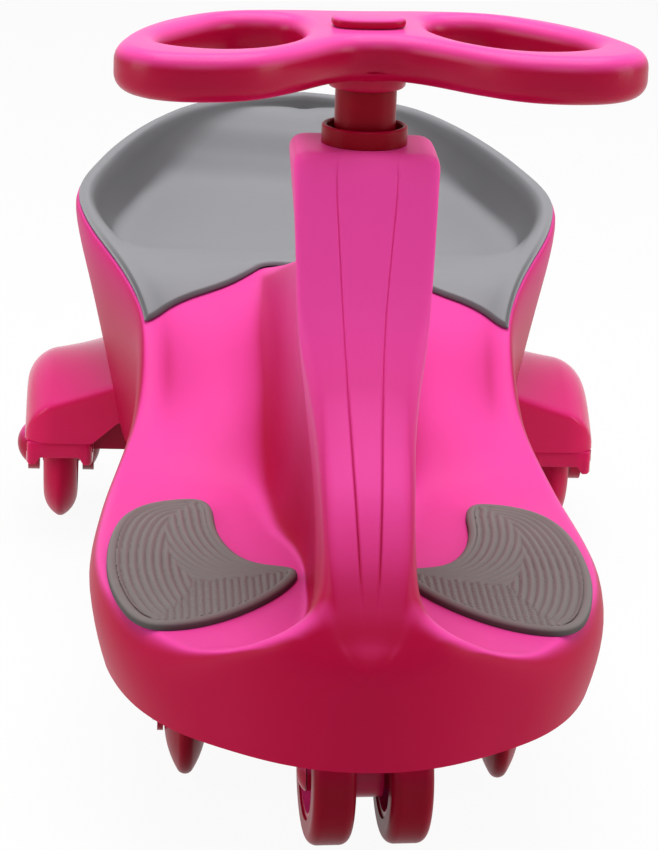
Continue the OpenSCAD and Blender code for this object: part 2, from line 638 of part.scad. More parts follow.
// The same outline, made to run anticlockwise
function twice_area(points) =
    let (n = len(points))
    [for (i = [0:n - 1]) cross(points[i], points[(i + 1) % n])] * [for (i = [0:n - 1]) 1];
function anticlockwise(points) =
    twice_area(points) > 0 ? points : [for (i = [len(points) - 1:-1:0]) points[i]];
wheel_outline = let (last = len(wheel_shares) - 1) anticlockwise(smooth_closed(wheel_half * concat(
    wheel_shares, [for (i = [last - 1:-1:1]) [-wheel_shares[i][0], wheel_shares[i][1]]]), wheel_steps));
function loop_outline(mirror_x) = anticlockwise(smooth_closed(
    wheel_half * [for (p = loop_shares) [p[0] * mirror_x, p[1]]], wheel_steps));

// Moves each point of an anticlockwise outline square to it, inwards for a distance above zero
function shifted(points, d) =
    let (n = len(points))
    [for (i = [0:n - 1])
        let (t = unit(points[(i + 1) % n] - points[(i + n - 1) % n]))
        points[i] + d * [-t[1], t[0]]];
function at_height(points, z) = [for (p = points) [p[0], p[1], z]];

module wheel_slab() {
    stacked([for (s = wheel_round_shares)
        at_height(shifted(wheel_outline, wheel_round * s[1]), wheel_t * s[0])]);
}

module loop_cut(mirror_x) {
    outline = loop_outline(mirror_x);
    rows = [[-overrun, 1], [0, 1], [loop_round, 0], [wheel_t - loop_round, 0], [wheel_t, 1],
            [wheel_t + overrun, 1]];
    stacked([for (r = rows) at_height(shifted(outline, -loop_round * r[1]), r[0])]);
}

module steering_wheel() {
    color(gloss_pink) steered() translate([0, 0, wheel_top_z - wheel_t]) difference() {
        union() {
            difference() {
                wheel_slab();
                loop_cut(1);
                loop_cut(-1);
            }
            translate([0, 0, -hub_drop]) cylinder(h = hub_drop + wheel_t / 2, r = hub_r);
        }
        translate([0, 0, -hub_drop - overrun])
            cylinder(h = hub_drop + overrun + wheel_t - hub_roof - bolt_head_h, r = column_r + run_gap);
        translate([0, 0, -overrun]) cylinder(h = wheel_t + 2 * overrun, r = bolt_r + run_gap);
        translate([0, 0, wheel_t - bolt_head_h])
            cylinder(h = bolt_head_h + overrun, r = bolt_head_r + seat_gap);
    }
}

module hub_button() {
    color(gloss_pink) steered() translate([0, 0, wheel_top_z + seat_gap]) {
        linear_extrude((button_h - seat_gap) / 2) button_outline(0);
        linear_extrude(button_h - seat_gap) button_outline(button_round);
    }
}

module button_outline(inset) {
    hull() for (x = [button_d - button_w, button_w - button_d])
        translate([x / 2, 0]) circle(d = button_d - 2 * inset);
}

module wheel_bolt() {
    color(steel) steered() translate([0, 0, wheel_top_z - bolt_head_h]) {
        cylinder(h = bolt_head_h - seat_gap, r = bolt_head_r);
        translate([0, 0, -bolt_len]) cylinder(h = bolt_len, r = bolt_r);
    }
}

// Column and carriage
carriage_top_z = lip_z - bush_flange_t - side_gap;
socket_r = 22;
socket_h = 34;
socket_floor = 6;
column_bottom_z = carriage_top_z - socket_h + socket_floor;
column_top_z = wheel_top_z - hub_roof - bolt_head_h - side_gap;
column_cap = 14;
pin_r = 3;
pin_z = carriage_top_z - socket_h / 2;
axle_boss_r = 13;
arm_t = 10;

module steering_column() {
    color(crimson) steered() difference() {
        translate([0, 0, column_bottom_z]) cylinder(h = column_top_z - column_bottom_z, r = column_r);
        translate([0, 0, column_bottom_z - overrun])
            cylinder(h = column_top_z - column_bottom_z - column_cap + overrun, r = column_r - column_wall);
        translate([0, 0, column_top_z - column_cap - overrun])
            cylinder(h = column_cap + 2 * overrun, r = bolt_r + run_gap);
        translate([0, 0, pin_z]) along_x(-socket_r, socket_r, pin_r + run_gap);
    }
}

module front_carriage() {
    top = carriage_top_z - front_r;
    color(crimson) steered() difference() {
        union() {
            translate([0, 0, carriage_top_z - socket_h]) cylinder(h = socket_h, r = socket_r);
            translate([-carriage_w / 2, -front_offset, front_r]) rotate([90, 0, 90])
                linear_extrude(carriage_w) {
                    circle(r = axle_boss_r);
                    polygon([
                        [0, -axle_boss_r], [front_offset, carriage_top_z - socket_h - front_r],
                        [front_offset, top], [axle_boss_r, top], [0, axle_boss_r]]);
                }
            translate([-socket_r, -front_offset / 2, carriage_top_z - arm_t])
                cube([2 * socket_r, front_offset / 2, arm_t]);
        }
        translate([0, 0, column_bottom_z])
            cylinder(h = carriage_top_z - column_bottom_z + overrun, r = column_r + run_gap);
        translate([0, 0, pin_z]) along_x(-socket_r - overrun, socket_r + overrun, pin_r + run_gap);
        translate([0, -front_offset, front_r])
            along_x(-carriage_w, carriage_w, front_axle_d / 2 + run_gap);
    }
}

module carriage_pin() {
    color(steel) steered() translate([0, 0, pin_z]) along_x(-socket_r, socket_r, pin_r);
}

// Front axle and the twin wheels
front_in = carriage_w / 2 + side_gap;
front_out = front_in + front_w;
front_cap_t = 3.5;
front_cap_r = 9;
cap_skin = 1.5;
hub_r_share = 0.66;
hub_rim_share = 0.14;
hub_boss_share = 0.22;
hub_web_share = 0.32;
hub_proud = 1;
tread_round_share = 0.25;
tread_tip_share = 0.2;

module at_front_axle() {
    steered() translate([0, -front_offset, front_r]) children();
}

module front_axle() {
    end = front_out + side_gap + front_cap_t - cap_skin;
    color(steel) at_front_axle() along_x(-end, end, front_axle_d / 2);
}

// A domed cap with a blind hole, from its flat face at x = 0 outwards
module domed_cap(r, t, hole_r) {
    rotate([0, 90, 0]) rotate_extrude() difference() {
        intersection() {
            translate([0, t - (r * r + t * t) / (2 * t)]) circle(r = (r * r + t * t) / (2 * t), $fn = 96);
            square([r, t]);
        }
        translate([0, -overrun]) square([hole_r, t - cap_skin + overrun]);
    }
}

module front_axle_caps() {
    color(gloss_pink) at_front_axle() for (left = [false, true]) on_side(left)
        translate([front_out + side_gap, 0, 0])
            domed_cap(front_cap_r, front_cap_t, front_axle_d / 2 + run_gap / 2);
}

// Half-profile of a tyre that lies on a hub, with a round tread, drawn as radius and width
module tyre_profile(r, hub, w) {
    edge = w * tread_round_share;
    intersection() {
        translate([hub, -w / 2]) square([r - hub, w]);
        union() {
            translate([hub, -w / 2]) square([r - hub - edge, w]);
            translate([hub, -w / 2 + edge]) square([r - hub, w - 2 * edge]);
            translate([r - edge, -w / 2 + edge]) circle(r = edge, $fn = 48);
            translate([r - edge, w / 2 - edge]) circle(r = edge, $fn = 48);
        }
    }
}

// Half-profile of a tyre with a tall round section: two arcs from the hub that meet at a round tip
module tall_tyre_profile(r, hub, w) {
    tip = w * tread_tip_share;
    depth = r - hub - tip;
    arc = (depth * depth + w * w / 4 - tip * tip) / (w - 2 * tip);
    drop = arc - w / 2;
    intersection() {
        translate([hub, -drop]) circle(r = arc, $fn = 96);
        translate([hub, drop]) circle(r = arc, $fn = 96);
        translate([hub, -w / 2]) square([depth * arc / (arc - tip), w]);
    }
    translate([r - tip, 0]) circle(r = tip, $fn = 48);
}

// A hub: a rim, a dished web and a boss with the bore
module hub_profile(r, bore, w, boss_w) {
    rim_t = r * hub_rim_share;
    boss_r = bore + r * hub_boss_share;
    web_t = w * hub_web_share;
    translate([r - rim_t, -w / 2]) square([rim_t, w]);
    translate([bore, -boss_w / 2]) square([boss_r - bore, boss_w]);
    translate([boss_r - overrun, -web_t / 2]) square([r - rim_t - boss_r + 2 * overrun, web_t]);
}

module wheel_tyre(r, w) {
    rotate([0, 90, 0]) rotate_extrude($fn = 96) tyre_profile(r, r * hub_r_share + run_gap, w);
}

module wheel_hub(r, w, bore, boss_w) {
    rotate([0, 90, 0]) rotate_extrude($fn = 96) hub_profile(r * hub_r_share, bore, w, boss_w);
}

module front_tyre(left) {
    color(crimson) at_front_axle() on_side(left) translate([front_in + front_w / 2, 0, 0])
        wheel_tyre(front_r, front_w);
}

module front_hub(left) {
    color(gloss_pink) at_front_axle() on_side(left) translate([front_in + front_w / 2, 0, 0])
        wheel_hub(front_r, front_w - 2 * hub_proud, front_axle_d / 2 + run_gap, front_w);
}

// Stabiliser wheels and their forks
stab_cheek_t = 3;
stab_top_t = 3;
stab_fork_l = 40;
stab_cheek_r = 9;
stab_half = stab_w / 2 + side_gap + stab_cheek_t;
screw_r = 2;
screw_head_r = 4;
screw_head_h = 2.5;
stab_screw_y = 15;

module at_stabiliser(left) {
    on_side(left) translate([stab_x, -stab_y, stab_axle_z]) children();
}

module stabiliser_fork(left) {
    top = lip_z - stab_axle_z;
    color(gloss_pink) at_stabiliser(left) difference() {
        union() {
            for (x = [-stab_half, stab_half - stab_cheek_t]) translate([x, 0, 0]) rotate([90, 0, 90])
                linear_extrude(stab_cheek_t) {
                    circle(r = stab_cheek_r);
                    polygon([
                        [-stab_cheek_r, 0], [stab_cheek_r, 0], [stab_fork_l / 2, top],
                        [-stab_fork_l / 2, top]]);
                }
            translate([-stab_half, -stab_fork_l / 2, top - stab_top_t])
                cube([2 * stab_half, stab_fork_l, stab_top_t]);
        }
        along_x(-stab_half - overrun, stab_half + overrun, stab_pin_d / 2 + run_gap);
        for (y = [-stab_screw_y, stab_screw_y]) translate([0, y, top - stab_top_t - overrun])
            cylinder(h = stab_top_t + 2 * overrun, r = screw_r + run_gap);
    }
}

module stabiliser_pin(left) {
    color(steel) at_stabiliser(left) {
        along_x(-stab_half, stab_half, stab_pin_d / 2);
        along_x(stab_half, stab_half + screw_head_h, screw_head_r);
    }
}

module stabiliser_wheel(left) {
    color(crimson) at_stabiliser(left) rotate([0, 90, 0]) rotate_extrude($fn = 96)
        tall_tyre_profile(stab_r, stab_pin_d / 2 + run_gap, stab_w);
}

module at_fork_screws(left) {
    for (y = [-stab_screw_y, stab_screw_y]) on_side(left) translate([stab_x, y - stab_y, lip_z]) children();
}

// A screw from its head up, where the face that it holds is at z = 0 and the head lies so far below
module screw(grip, bite) {
    translate([0, 0, -grip - screw_head_h]) cylinder(h = screw_head_h, r = screw_head_r);
    translate([0, 0, -grip]) cylinder(h = grip + bite, r = screw_r);
}

module fork_screws() {
    color(steel) for (left = [false, true]) at_fork_screws(left) screw(stab_top_t, plate_t);
}

// Rear beam: a cross member with a fork at each end
hub_half = rear_w / 2 + hub_proud;
washer_t = 1.5;
washer_r = 10;
cheek_in = hub_half + washer_t + side_gap;
cheek_out = cheek_in + cheek_t;
cheek_r = 17;
cheek_half_l = 56;
beam_half_l = 26;
beam_wall = 4;
beam_z = 50;
beam_screw_x = 60;

module at_rear_axle(left) {
    on_side(left) translate([rear_x, rear_y, rear_r]) children();
}

module cheek_plate() {
    rotate([90, 0, 90]) linear_extrude(cheek_t) difference() {
        union() {
            circle(r = cheek_r);
            polygon([
                [-cheek_r, 0], [cheek_r, 0], [cheek_half_l, seam_z - rear_r - cheek_t],
                [cheek_half_l, seam_z - rear_r], [-cheek_half_l, seam_z - rear_r],
                [-cheek_half_l, seam_z - rear_r - cheek_t]]);
        }
        circle(r = rear_axle_d / 2 + run_gap);
    }
}

module rear_beam() {
    end = rear_x - cheek_out + overrun;
    color(gloss_pink) {
        for (left = [false, true]) at_rear_axle(left) {
            translate([-cheek_out, 0, 0]) cheek_plate();
            translate([cheek_in, 0, 0]) cheek_plate();
            // End walls of the fork, before and behind the wheel
            difference() {
                for (y = [-cheek_half_l, cheek_half_l - cheek_t])
                    translate([-cheek_in - overrun, y, seam_z - rear_r - cheek_t])
                        cube([2 * (cheek_in + overrun), cheek_t, cheek_t]);
                at_fender_screws() translate([0, 0, -cheek_t - overrun])
                    cylinder(h = cheek_t + 2 * overrun, r = screw_r + run_gap);
            }
        }
        difference() {
            translate([-end, rear_y - beam_half_l, beam_z])
                cube([2 * end, 2 * beam_half_l, lip_z - beam_z]);
            translate([-end + 2 * beam_wall, rear_y - beam_half_l + beam_wall, beam_z - overrun])
                cube([2 * (end - 2 * beam_wall), 2 * (beam_half_l - beam_wall),
                      lip_z - beam_z - beam_wall + overrun]);
            for (left = [false, true]) at_rear_axle(left) {
                along_x(-cheek_out - cheek_t, cheek_out, rear_axle_d / 2 + run_gap);
                along_x(-cheek_out - inner_cap_t - seat_gap, -cheek_out, axle_cap_r + seat_gap);
            }
            at_beam_screws() translate([0, 0, -beam_wall - overrun])
                cylinder(h = beam_wall + 2 * overrun, r = screw_r + run_gap);
        }
    }
}

module at_beam_screws() {
    for (x = [-beam_screw_x, beam_screw_x], y = [-beam_half_l / 2, beam_half_l / 2])
        translate([x, rear_y + y, lip_z]) children();
}

module beam_screws() {
    color(steel) at_beam_screws() screw(beam_wall, plate_t);
}

module rear_washers(left) {
    color(steel) at_rear_axle(left) for (x = [-cheek_in, cheek_in - washer_t]) difference() {
        along_x(x, x + washer_t, washer_r);
        along_x(x - overrun, x + washer_t + overrun, rear_axle_d / 2 + run_gap);
    }
}

module rear_tyre(left) {
    color(crimson) at_rear_axle(left) rotate([0, 90, 0]) rotate_extrude($fn = 96)
        tall_tyre_profile(rear_r, rear_r * hub_r_share + run_gap, rear_w);
}

module rear_hub(left) {
    color(gloss_pink) at_rear_axle(left)
        wheel_hub(rear_r, rear_w - 2 * hub_proud, rear_axle_d / 2 + run_gap, 2 * hub_half);
}

axle_cap_r = 13;
axle_cap_t = 7;
inner_cap_t = 4;

module rear_axle(left) {
    color(steel) at_rear_axle(left)
        along_x(-cheek_out - inner_cap_t + cap_skin, cheek_out + axle_cap_t - cap_skin, rear_axle_d / 2);
}

module axle_caps(left) {
    color(gloss_pink) at_rear_axle(left) {
        translate([cheek_out, 0, 0]) domed_cap(axle_cap_r, axle_cap_t, rear_axle_d / 2 + run_gap / 2);
        translate([-cheek_out, 0, 0]) mirror([1, 0, 0])
            domed_cap(axle_cap_r, inner_cap_t, rear_axle_d / 2 + run_gap / 2);
    }
}

// Fender: a hood over the rear wheel that reaches in to the body. Its front and back rise steeply to a
// crease, and the top arches over from there. Rows go outwards along the axle, as shares of the hood's
// width, reach and height: the place, the reach, the crease and the top.
fender_inner_share = 0.58;
fender_fit_share = 1.008;
fender_side = 1;
fender_inner_x = fender_inner_share * seat_half;
fender_outer_x = rear_x + cheek_out + fender_side;
fender_front_share = 0.66;
fender_draft_share = 0.04;
fender_steps = 18;
fender_skin = 4;
fender_row_shares = [
    [0, 1, 0.96, 1], [0.45, 0.997, 0.785, 0.97], [0.7, 0.994, 0.62, 0.925], [0.84, 0.99, 0.53, 0.885],
    [0.92, 0.98, 0.45, 0.835], [0.97, 0.955, 0.34, 0.74], [1, 0.90, 0.18, 0.58]];
well_gap = 4;
fender_bite = 10;

function fender_arch(x, reach, crease, top) = [for (i = [0:fender_steps])
    let (
        out = abs(1 - 2 * i / fender_steps),
        over = max(0, 1 - out / fender_front_share),
        upright = min(1, (1 - out) / (1 - fender_front_share)),
        length = reach * (1 - fender_draft_share * upright * upright))
    [x, rear_y + sign(fender_steps - 2 * i) * length * min(1, out / fender_front_share),
     seam_z + (over > 0 ? crease + (top - crease) * sin(90 * over) : crease * upright)]];

module fender(left) {
    width = fender_outer_x - fender_inner_x;
    height = fender_top_z - seam_z;
    hollow_l = fender_reach - 3 * fender_skin;
    color(gloss_pink) on_side(left) difference() {
        stacked([for (s = fender_row_shares)
            fender_arch(fender_inner_x + width * s[0], fender_reach * s[1], height * s[2], height * s[3])]);
        scale([fender_fit_share, 1, 1]) body_room();
        translate([rear_x, rear_y, rear_r]) along_x(-cheek_in, cheek_in, rear_r + well_gap);
        translate([fender_inner_x - overrun, rear_y - hollow_l, seam_z - overrun])
            cube([rear_x - cheek_out - fender_inner_x + 2 * overrun + seat_gap, 2 * hollow_l,
                  height / 2 + overrun]);
        translate([rear_x, rear_y, rear_r]) at_fender_screws() translate([0, 0, -overrun])
            cylinder(h = fender_bite + seat_gap + overrun, r = screw_r + run_gap);
    }
}

// Places of the screws that hold a fender, from the middle of its wheel
module at_fender_screws() {
    for (y = [cheek_t / 2 - cheek_half_l, cheek_half_l - cheek_t / 2])
        translate([0, y, seam_z - rear_r]) children();
}

module fender_screws() {
    color(steel) for (left = [false, true]) at_rear_axle(left) at_fender_screws()
        screw(cheek_t, fender_bite);
}

body_shell();
seat_liner();
foot_pad(true);  // left_foot_pad
foot_pad(false);  // right_foot_pad
base_plate();
rear_beam();
fender(true);  // left_fender
fender(false);  // right_fender
rear_axle(true);  // left_rear_axle
rear_axle(false);  // right_rear_axle
axle_caps(true);  // left_axle_caps
axle_caps(false);  // right_axle_caps
rear_washers(true);  // left_rear_washers
rear_washers(false);  // right_rear_washers
rear_hub(true);  // left_rear_hub
rear_hub(false);  // right_rear_hub
rear_tyre(true);  // left_rear_tyre
rear_tyre(false);  // right_rear_tyre
steering_collar();
lower_bush();
steering_wheel();
hub_button();
wheel_bolt();
steering_column();
front_carriage();
carriage_pin();
front_axle();
front_axle_caps();
front_hub(true);  // left_front_hub
front_hub(false);  // right_front_hub
front_tyre(true);  // left_front_tyre
front_tyre(false);  // right_front_tyre
stabiliser_fork(true);  // left_stabiliser_fork
stabiliser_fork(false);  // right_stabiliser_fork
stabiliser_pin(true);  // left_stabiliser_pin
stabiliser_pin(false);  // right_stabiliser_pin
stabiliser_wheel(true);  // left_stabiliser_wheel
stabiliser_wheel(false);  // right_stabiliser_wheel
beam_screws();
fork_screws();
fender_screws();
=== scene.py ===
# %% [markdown]
# A ride-on wiggle car, rebuilt from one photograph. The exact solids of the part come in first and stay
# where they are. On top of them this script makes the smooth mouldings, the finishes, the light and the
# camera. The frame of the part is in metres, with the nose towards -Y. The sizes of the mouldings are
# written in millimetres and become metres through MM.

# %% Load the frame
import bpy
import bmesh
import json
import math
import numpy as np
from mathutils import Matrix, Vector


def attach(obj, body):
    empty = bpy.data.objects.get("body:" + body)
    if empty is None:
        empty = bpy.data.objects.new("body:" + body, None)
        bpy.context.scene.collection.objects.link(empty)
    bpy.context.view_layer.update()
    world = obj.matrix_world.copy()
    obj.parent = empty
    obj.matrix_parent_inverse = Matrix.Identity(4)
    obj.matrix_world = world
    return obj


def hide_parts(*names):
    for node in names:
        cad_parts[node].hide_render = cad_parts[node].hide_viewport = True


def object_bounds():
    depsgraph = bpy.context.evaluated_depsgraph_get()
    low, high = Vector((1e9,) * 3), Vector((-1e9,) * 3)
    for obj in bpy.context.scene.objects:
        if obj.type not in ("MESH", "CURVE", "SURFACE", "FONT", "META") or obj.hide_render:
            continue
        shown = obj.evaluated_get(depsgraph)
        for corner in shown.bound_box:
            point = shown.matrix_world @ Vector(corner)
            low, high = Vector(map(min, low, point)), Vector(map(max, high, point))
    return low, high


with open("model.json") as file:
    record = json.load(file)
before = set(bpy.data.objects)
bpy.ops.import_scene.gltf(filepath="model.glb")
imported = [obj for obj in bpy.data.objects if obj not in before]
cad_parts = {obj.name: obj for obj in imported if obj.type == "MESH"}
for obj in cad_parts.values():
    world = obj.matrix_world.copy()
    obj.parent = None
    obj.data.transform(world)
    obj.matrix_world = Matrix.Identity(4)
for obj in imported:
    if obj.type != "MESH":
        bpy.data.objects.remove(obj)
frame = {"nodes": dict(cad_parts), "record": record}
cad_low, cad_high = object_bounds()
MM = 0.001
print("frame with", len(frame["nodes"]), "nodes, box", [round(v, 3) for v in cad_high - cad_low])

# %% [markdown]
# The camera stands where the photographer's did. Its place and turn were worked out from points of the
# object that can be measured in the picture, such as the wheels and the ends of the steering wheel. A
# long lens keeps the perspective flat. The picture is 658 by 850 points.

# %% Camera
CAMERA_PLACE = Vector((-0.1131, -1.8518, 0.6774))
CAMERA_YAW, CAMERA_PITCH, CAMERA_ROLL = 0.0616, 0.2889, 0.0361
FOCAL_POINTS, PICTURE_HEIGHT, SENSOR_WIDTH = 3430.3, 850, 36


def camera_matrix(place, yaw, pitch, roll):
    ahead = Vector((math.sin(yaw) * math.cos(pitch), math.cos(yaw) * math.cos(pitch), -math.sin(pitch)))
    right = Vector((math.cos(yaw), -math.sin(yaw), 0))
    down = ahead.cross(right)
    across = math.cos(roll) * right - math.sin(roll) * down
    below = math.sin(roll) * right + math.cos(roll) * down
    turn = Matrix((across, -below, -ahead)).transposed().to_4x4()
    return Matrix.Translation(place) @ turn


def new_object(name, data):
    made = bpy.data.objects.new(name, data)
    bpy.context.scene.collection.objects.link(made)
    return made


camera_data = bpy.data.cameras.new("photo_camera")
camera_data.sensor_width = SENSOR_WIDTH
camera_data.lens = SENSOR_WIDTH * FOCAL_POINTS / PICTURE_HEIGHT
camera = new_object("photo_camera", camera_data)
camera.matrix_world = camera_matrix(CAMERA_PLACE, CAMERA_YAW, CAMERA_PITCH, CAMERA_ROLL)
bpy.context.scene.camera = camera
bpy.context.scene.view_settings.view_transform = "Standard"
print("camera lens", round(camera_data.lens, 1), "mm")

# %% [markdown]
# Four soft lamps light the car: a broad one above, one at each side and a weak one in front. An area lamp
# shines along its own -Z, so each one is turned until that axis points at its aim.

# %% Lamps
def soft_lamp(name, place, aim, size, power):
    data = bpy.data.lights.new(name, "AREA")
    data.shape = "RECTANGLE"
    data.size, data.size_y = size
    data.energy = power
    lamp = new_object(name, data)
    lamp.location = place
    lamp.rotation_mode = "QUATERNION"
    lamp.rotation_quaternion = (Vector(aim) - Vector(place)).to_track_quat("-Z", "Y")


soft_lamp("lamp_above", (0, 0.1, 1.9), (0, 0, 0.1), (1.6, 1.6), 32)
for name, x in (("lamp_left", -1.6), ("lamp_right", 1.6)):
    soft_lamp(name, (x, -0.5, 0.7), (0, 0, 0.15), (0.9, 1.1), 11)
soft_lamp("lamp_front", (0.1, -2.0, 1.6), (0, -0.2, 0.25), (1.4, 1.0), 8)

# %% [markdown]
# Every material below is a tree of nodes. These helpers empty a tree, add the nodes that come up often,
# and wire an output of one node to an input of another.

# %% Node helpers
def empty_tree(owner):
    owner.use_nodes = True
    owner.node_tree.nodes.clear()
    return owner.node_tree.nodes, owner.node_tree.links


def new_material(name):
    material = bpy.data.materials.new(name)
    return material, *empty_tree(material)


def wire(links, *joints):
    """Each joint is a node and its output, then a node and its input."""
    for source, output, target, socket in joints:
        links.new(source.outputs[output], target.inputs[socket])


def preset(node, values):
    """Sets inputs of a node, by name or number, and gives the node back."""
    for socket, value in values.items():
        node.inputs[socket].default_value = value
    return node


def math_node(nodes, operation):
    node = nodes.new("ShaderNodeMath")
    node.operation = operation
    return node


def smooth_range(nodes):
    node = nodes.new("ShaderNodeMapRange")
    node.interpolation_type = "SMOOTHSTEP"
    return node


def tint_ramp(nodes, first, last):
    node = nodes.new("ShaderNodeValToRGB")
    for element, colour in zip(node.color_ramp.elements, (first, last)):
        element.color = (*colour, 1)
    return node


print("node helpers ready")

# %% [markdown]
# The studio is a pale floor in a pale room. The picture's ground is white, so rays that look at the floor
# see one that glows a little by itself, and the object's shadow still shows on it. Rays that carry light
# to the car find the room much darker, so that the lamps and not the walls shape it.

# %% Studio
GROUND_GLOW, GROUND_HALF, GROUND_DROP, ROOM_LIGHT = 0.94, 12, 0.0005, 0.22


def seen_straight(nodes, links):
    """1 for rays that look at the white directly, in a reflection or through something clear."""
    path = nodes.new("ShaderNodeLightPath")
    first, either = math_node(nodes, "MAXIMUM"), math_node(nodes, "MAXIMUM")
    wire(links, (path, "Is Camera Ray", first, 0), (path, "Is Glossy Ray", first, 1),
         (first, 0, either, 0), (path, "Is Transmission Ray", either, 1))
    return either


def white_ground():
    material, nodes, links = new_material("white_ground")
    out = nodes.new("ShaderNodeOutputMaterial")
    mix = nodes.new("ShaderNodeMixShader")
    dull = nodes.new("ShaderNodeBsdfDiffuse")
    glow = nodes.new("ShaderNodeEmission")
    share = preset(math_node(nodes, "MULTIPLY"), {1: GROUND_GLOW})
    speckle = preset(nodes.new("ShaderNodeTexNoise"), {"Scale": 3})
    tint = tint_ramp(nodes, (0.90, 0.90, 0.90), (0.94, 0.94, 0.94))
    wire(links, (speckle, "Fac", tint, "Fac"), (tint, "Color", dull, "Color"),
         (seen_straight(nodes, links), 0, share, 0), (share, 0, mix, "Fac"),
         (dull, 0, mix, 1), (glow, 0, mix, 2), (mix, 0, out, "Surface"))
    return material


def ground_sheet():
    corners = [(x * GROUND_HALF, y * GROUND_HALF, cad_low.z - GROUND_DROP)
               for x, y in ((-1, -1), (1, -1), (1, 1), (-1, 1))]
    mesh = bpy.data.meshes.new("ground")
    mesh.from_pydata(corners, [], [(0, 1, 2, 3)])
    mesh.materials.append(white_ground())
    ground = new_object("ground", mesh)


def white_room():
    world = bpy.data.worlds.new("white_room")
    bpy.context.scene.world = world
    nodes, links = empty_tree(world)
    out = nodes.new("ShaderNodeOutputWorld")
    back = nodes.new("ShaderNodeBackground")
    level = preset(nodes.new("ShaderNodeMapRange"), {"To Min": ROOM_LIGHT})
    wire(links, (seen_straight(nodes, links), 0, level, "Value"), (level, "Result", back, "Strength"),
         (back, 0, out, "Surface"))


ground_sheet()
white_room()
print("ground", 2 * GROUND_HALF, "m wide in", bpy.context.scene.world.name)

# %% [markdown]
# All the plastics share two effects, so each is a node group that is built once. The first is the fine
# grain that a mould leaves on a surface, with broad clouds that let the pigment drift from place to place.
# The second paints light and shade into the colour: faces that look up get the lit colour, and so do high
# ones that look ahead. The others get the shaded colour. The clouds of the first also let the pigment
# drift.

# %% Shared effects
FLOAT, COLOUR = "NodeSocketFloat", "NodeSocketColor"


def effect_group(name, inputs, outputs):
    group = bpy.data.node_groups.new(name, "ShaderNodeTree")
    for label, kind, value in inputs:
        socket = group.interface.new_socket(label, in_out="INPUT", socket_type=kind)
        socket.default_value = value
    for label, kind in outputs:
        group.interface.new_socket(label, in_out="OUTPUT", socket_type=kind)
    nodes = group.nodes
    return group, nodes, group.links, nodes.new("NodeGroupInput"), nodes.new("NodeGroupOutput")


def mould_grain():
    group, nodes, links, start, end = effect_group(
        "mould_grain",
        [("Grain Scale", FLOAT, 900.0), ("Cloud Scale", FLOAT, 14.0)],
        [("Height", FLOAT), ("Cloud", FLOAT)])
    place = nodes.new("ShaderNodeTexCoord")
    for scale, detail, result in (("Grain Scale", 3, "Height"), ("Cloud Scale", 4, "Cloud")):
        noise = preset(nodes.new("ShaderNodeTexNoise"), {"Detail": detail})
        wire(links, (place, "Object", noise, "Vector"), (start, scale, noise, "Scale"),
             (noise, "Fac", end, result))
    return group


# Painted light and shade: colour lighter on faces that look up and on high faces that look ahead, deeper on
# the rest, with a random pigment drift.
def painted_light_and_drift():
    group, nodes, links, start, end = effect_group(
        "painted_light_and_drift",
        [("Lit Colour", COLOUR, (1, 1, 1, 1)), ("Shaded Colour", COLOUR, (1, 1, 1, 1)),
         ("Cloud", FLOAT, 0.5), ("Drift", FLOAT, 0.12), ("From", FLOAT, 0.0), ("To", FLOAT, 0.85),
         ("Low", FLOAT, 8.0), ("High", FLOAT, 9.0)],
        [("Colour", COLOUR)])
    surface = nodes.new("ShaderNodeNewGeometry")
    facing, spot = nodes.new("ShaderNodeSeparateXYZ"), nodes.new("ShaderNodeSeparateXYZ")
    lift, height = smooth_range(nodes), smooth_range(nodes)
    ahead = preset(smooth_range(nodes), {"From Min": 0.15, "From Max": -0.45, "To Min": 0.75})
    raised, either = math_node(nodes, "MULTIPLY"), math_node(nodes, "MAXIMUM")
    centred = preset(math_node(nodes, "SUBTRACT"), {1: 0.5})
    drift = math_node(nodes, "MULTIPLY_ADD")
    mix = nodes.new("ShaderNodeMix")
    mix.data_type = "RGBA"
    wire(links, (surface, "Normal", facing, 0), (facing, "Z", lift, "Value"),
         (start, "From", lift, "From Min"), (start, "To", lift, "From Max"),
         (surface, "Position", spot, 0), (spot, "Z", height, "Value"),
         (start, "Low", height, "From Min"), (start, "High", height, "From Max"),
         (facing, "Y", ahead, "Value"), (height, "Result", raised, 0), (ahead, "Result", raised, 1),
         (lift, "Result", either, 0), (raised, 0, either, 1))
    wire(links, (start, "Cloud", centred, 0), (centred, 0, drift, 0), (start, "Drift", drift, 1),
         (either, 0, drift, 2), (drift, 0, mix, "Factor"), (start, "Shaded Colour", mix, "A"),
         (start, "Lit Colour", mix, "B"), (mix, "Result", end, "Colour"))
    return group


MOULD_GRAIN, PAINTED_LIGHT_AND_DRIFT = mould_grain(), painted_light_and_drift()
print("node groups:", MOULD_GRAIN.name, PAINTED_LIGHT_AND_DRIFT.name)

# %% [markdown]
# Each finish is a Principled shader fed by those groups. The body is satin plastic, the steering wheel
# and fenders are glossier, the seat and the pads are grey, and the axles are bare steel. Only the body
# gets the painted light that grows with height: for the others that change lies far above the car.

# %% Finishes
WEAR, GRAIN_DISTANCE, COAT_ROUGH = 0.06, 0.0004, 0.12
FAR_ABOVE = (8.0, 9.0)


def grained_shader(name):
    """A new material whose shader is wired to the output, with the grain group at hand."""
    material, nodes, links = new_material(name)
    out = nodes.new("ShaderNodeOutputMaterial")
    shader = nodes.new("ShaderNodeBsdfPrincipled")
    grain = nodes.new("ShaderNodeGroup")
    grain.node_tree = MOULD_GRAIN
    wire(links, (shader, 0, out, "Surface"))
    return material, nodes, links, shader, grain


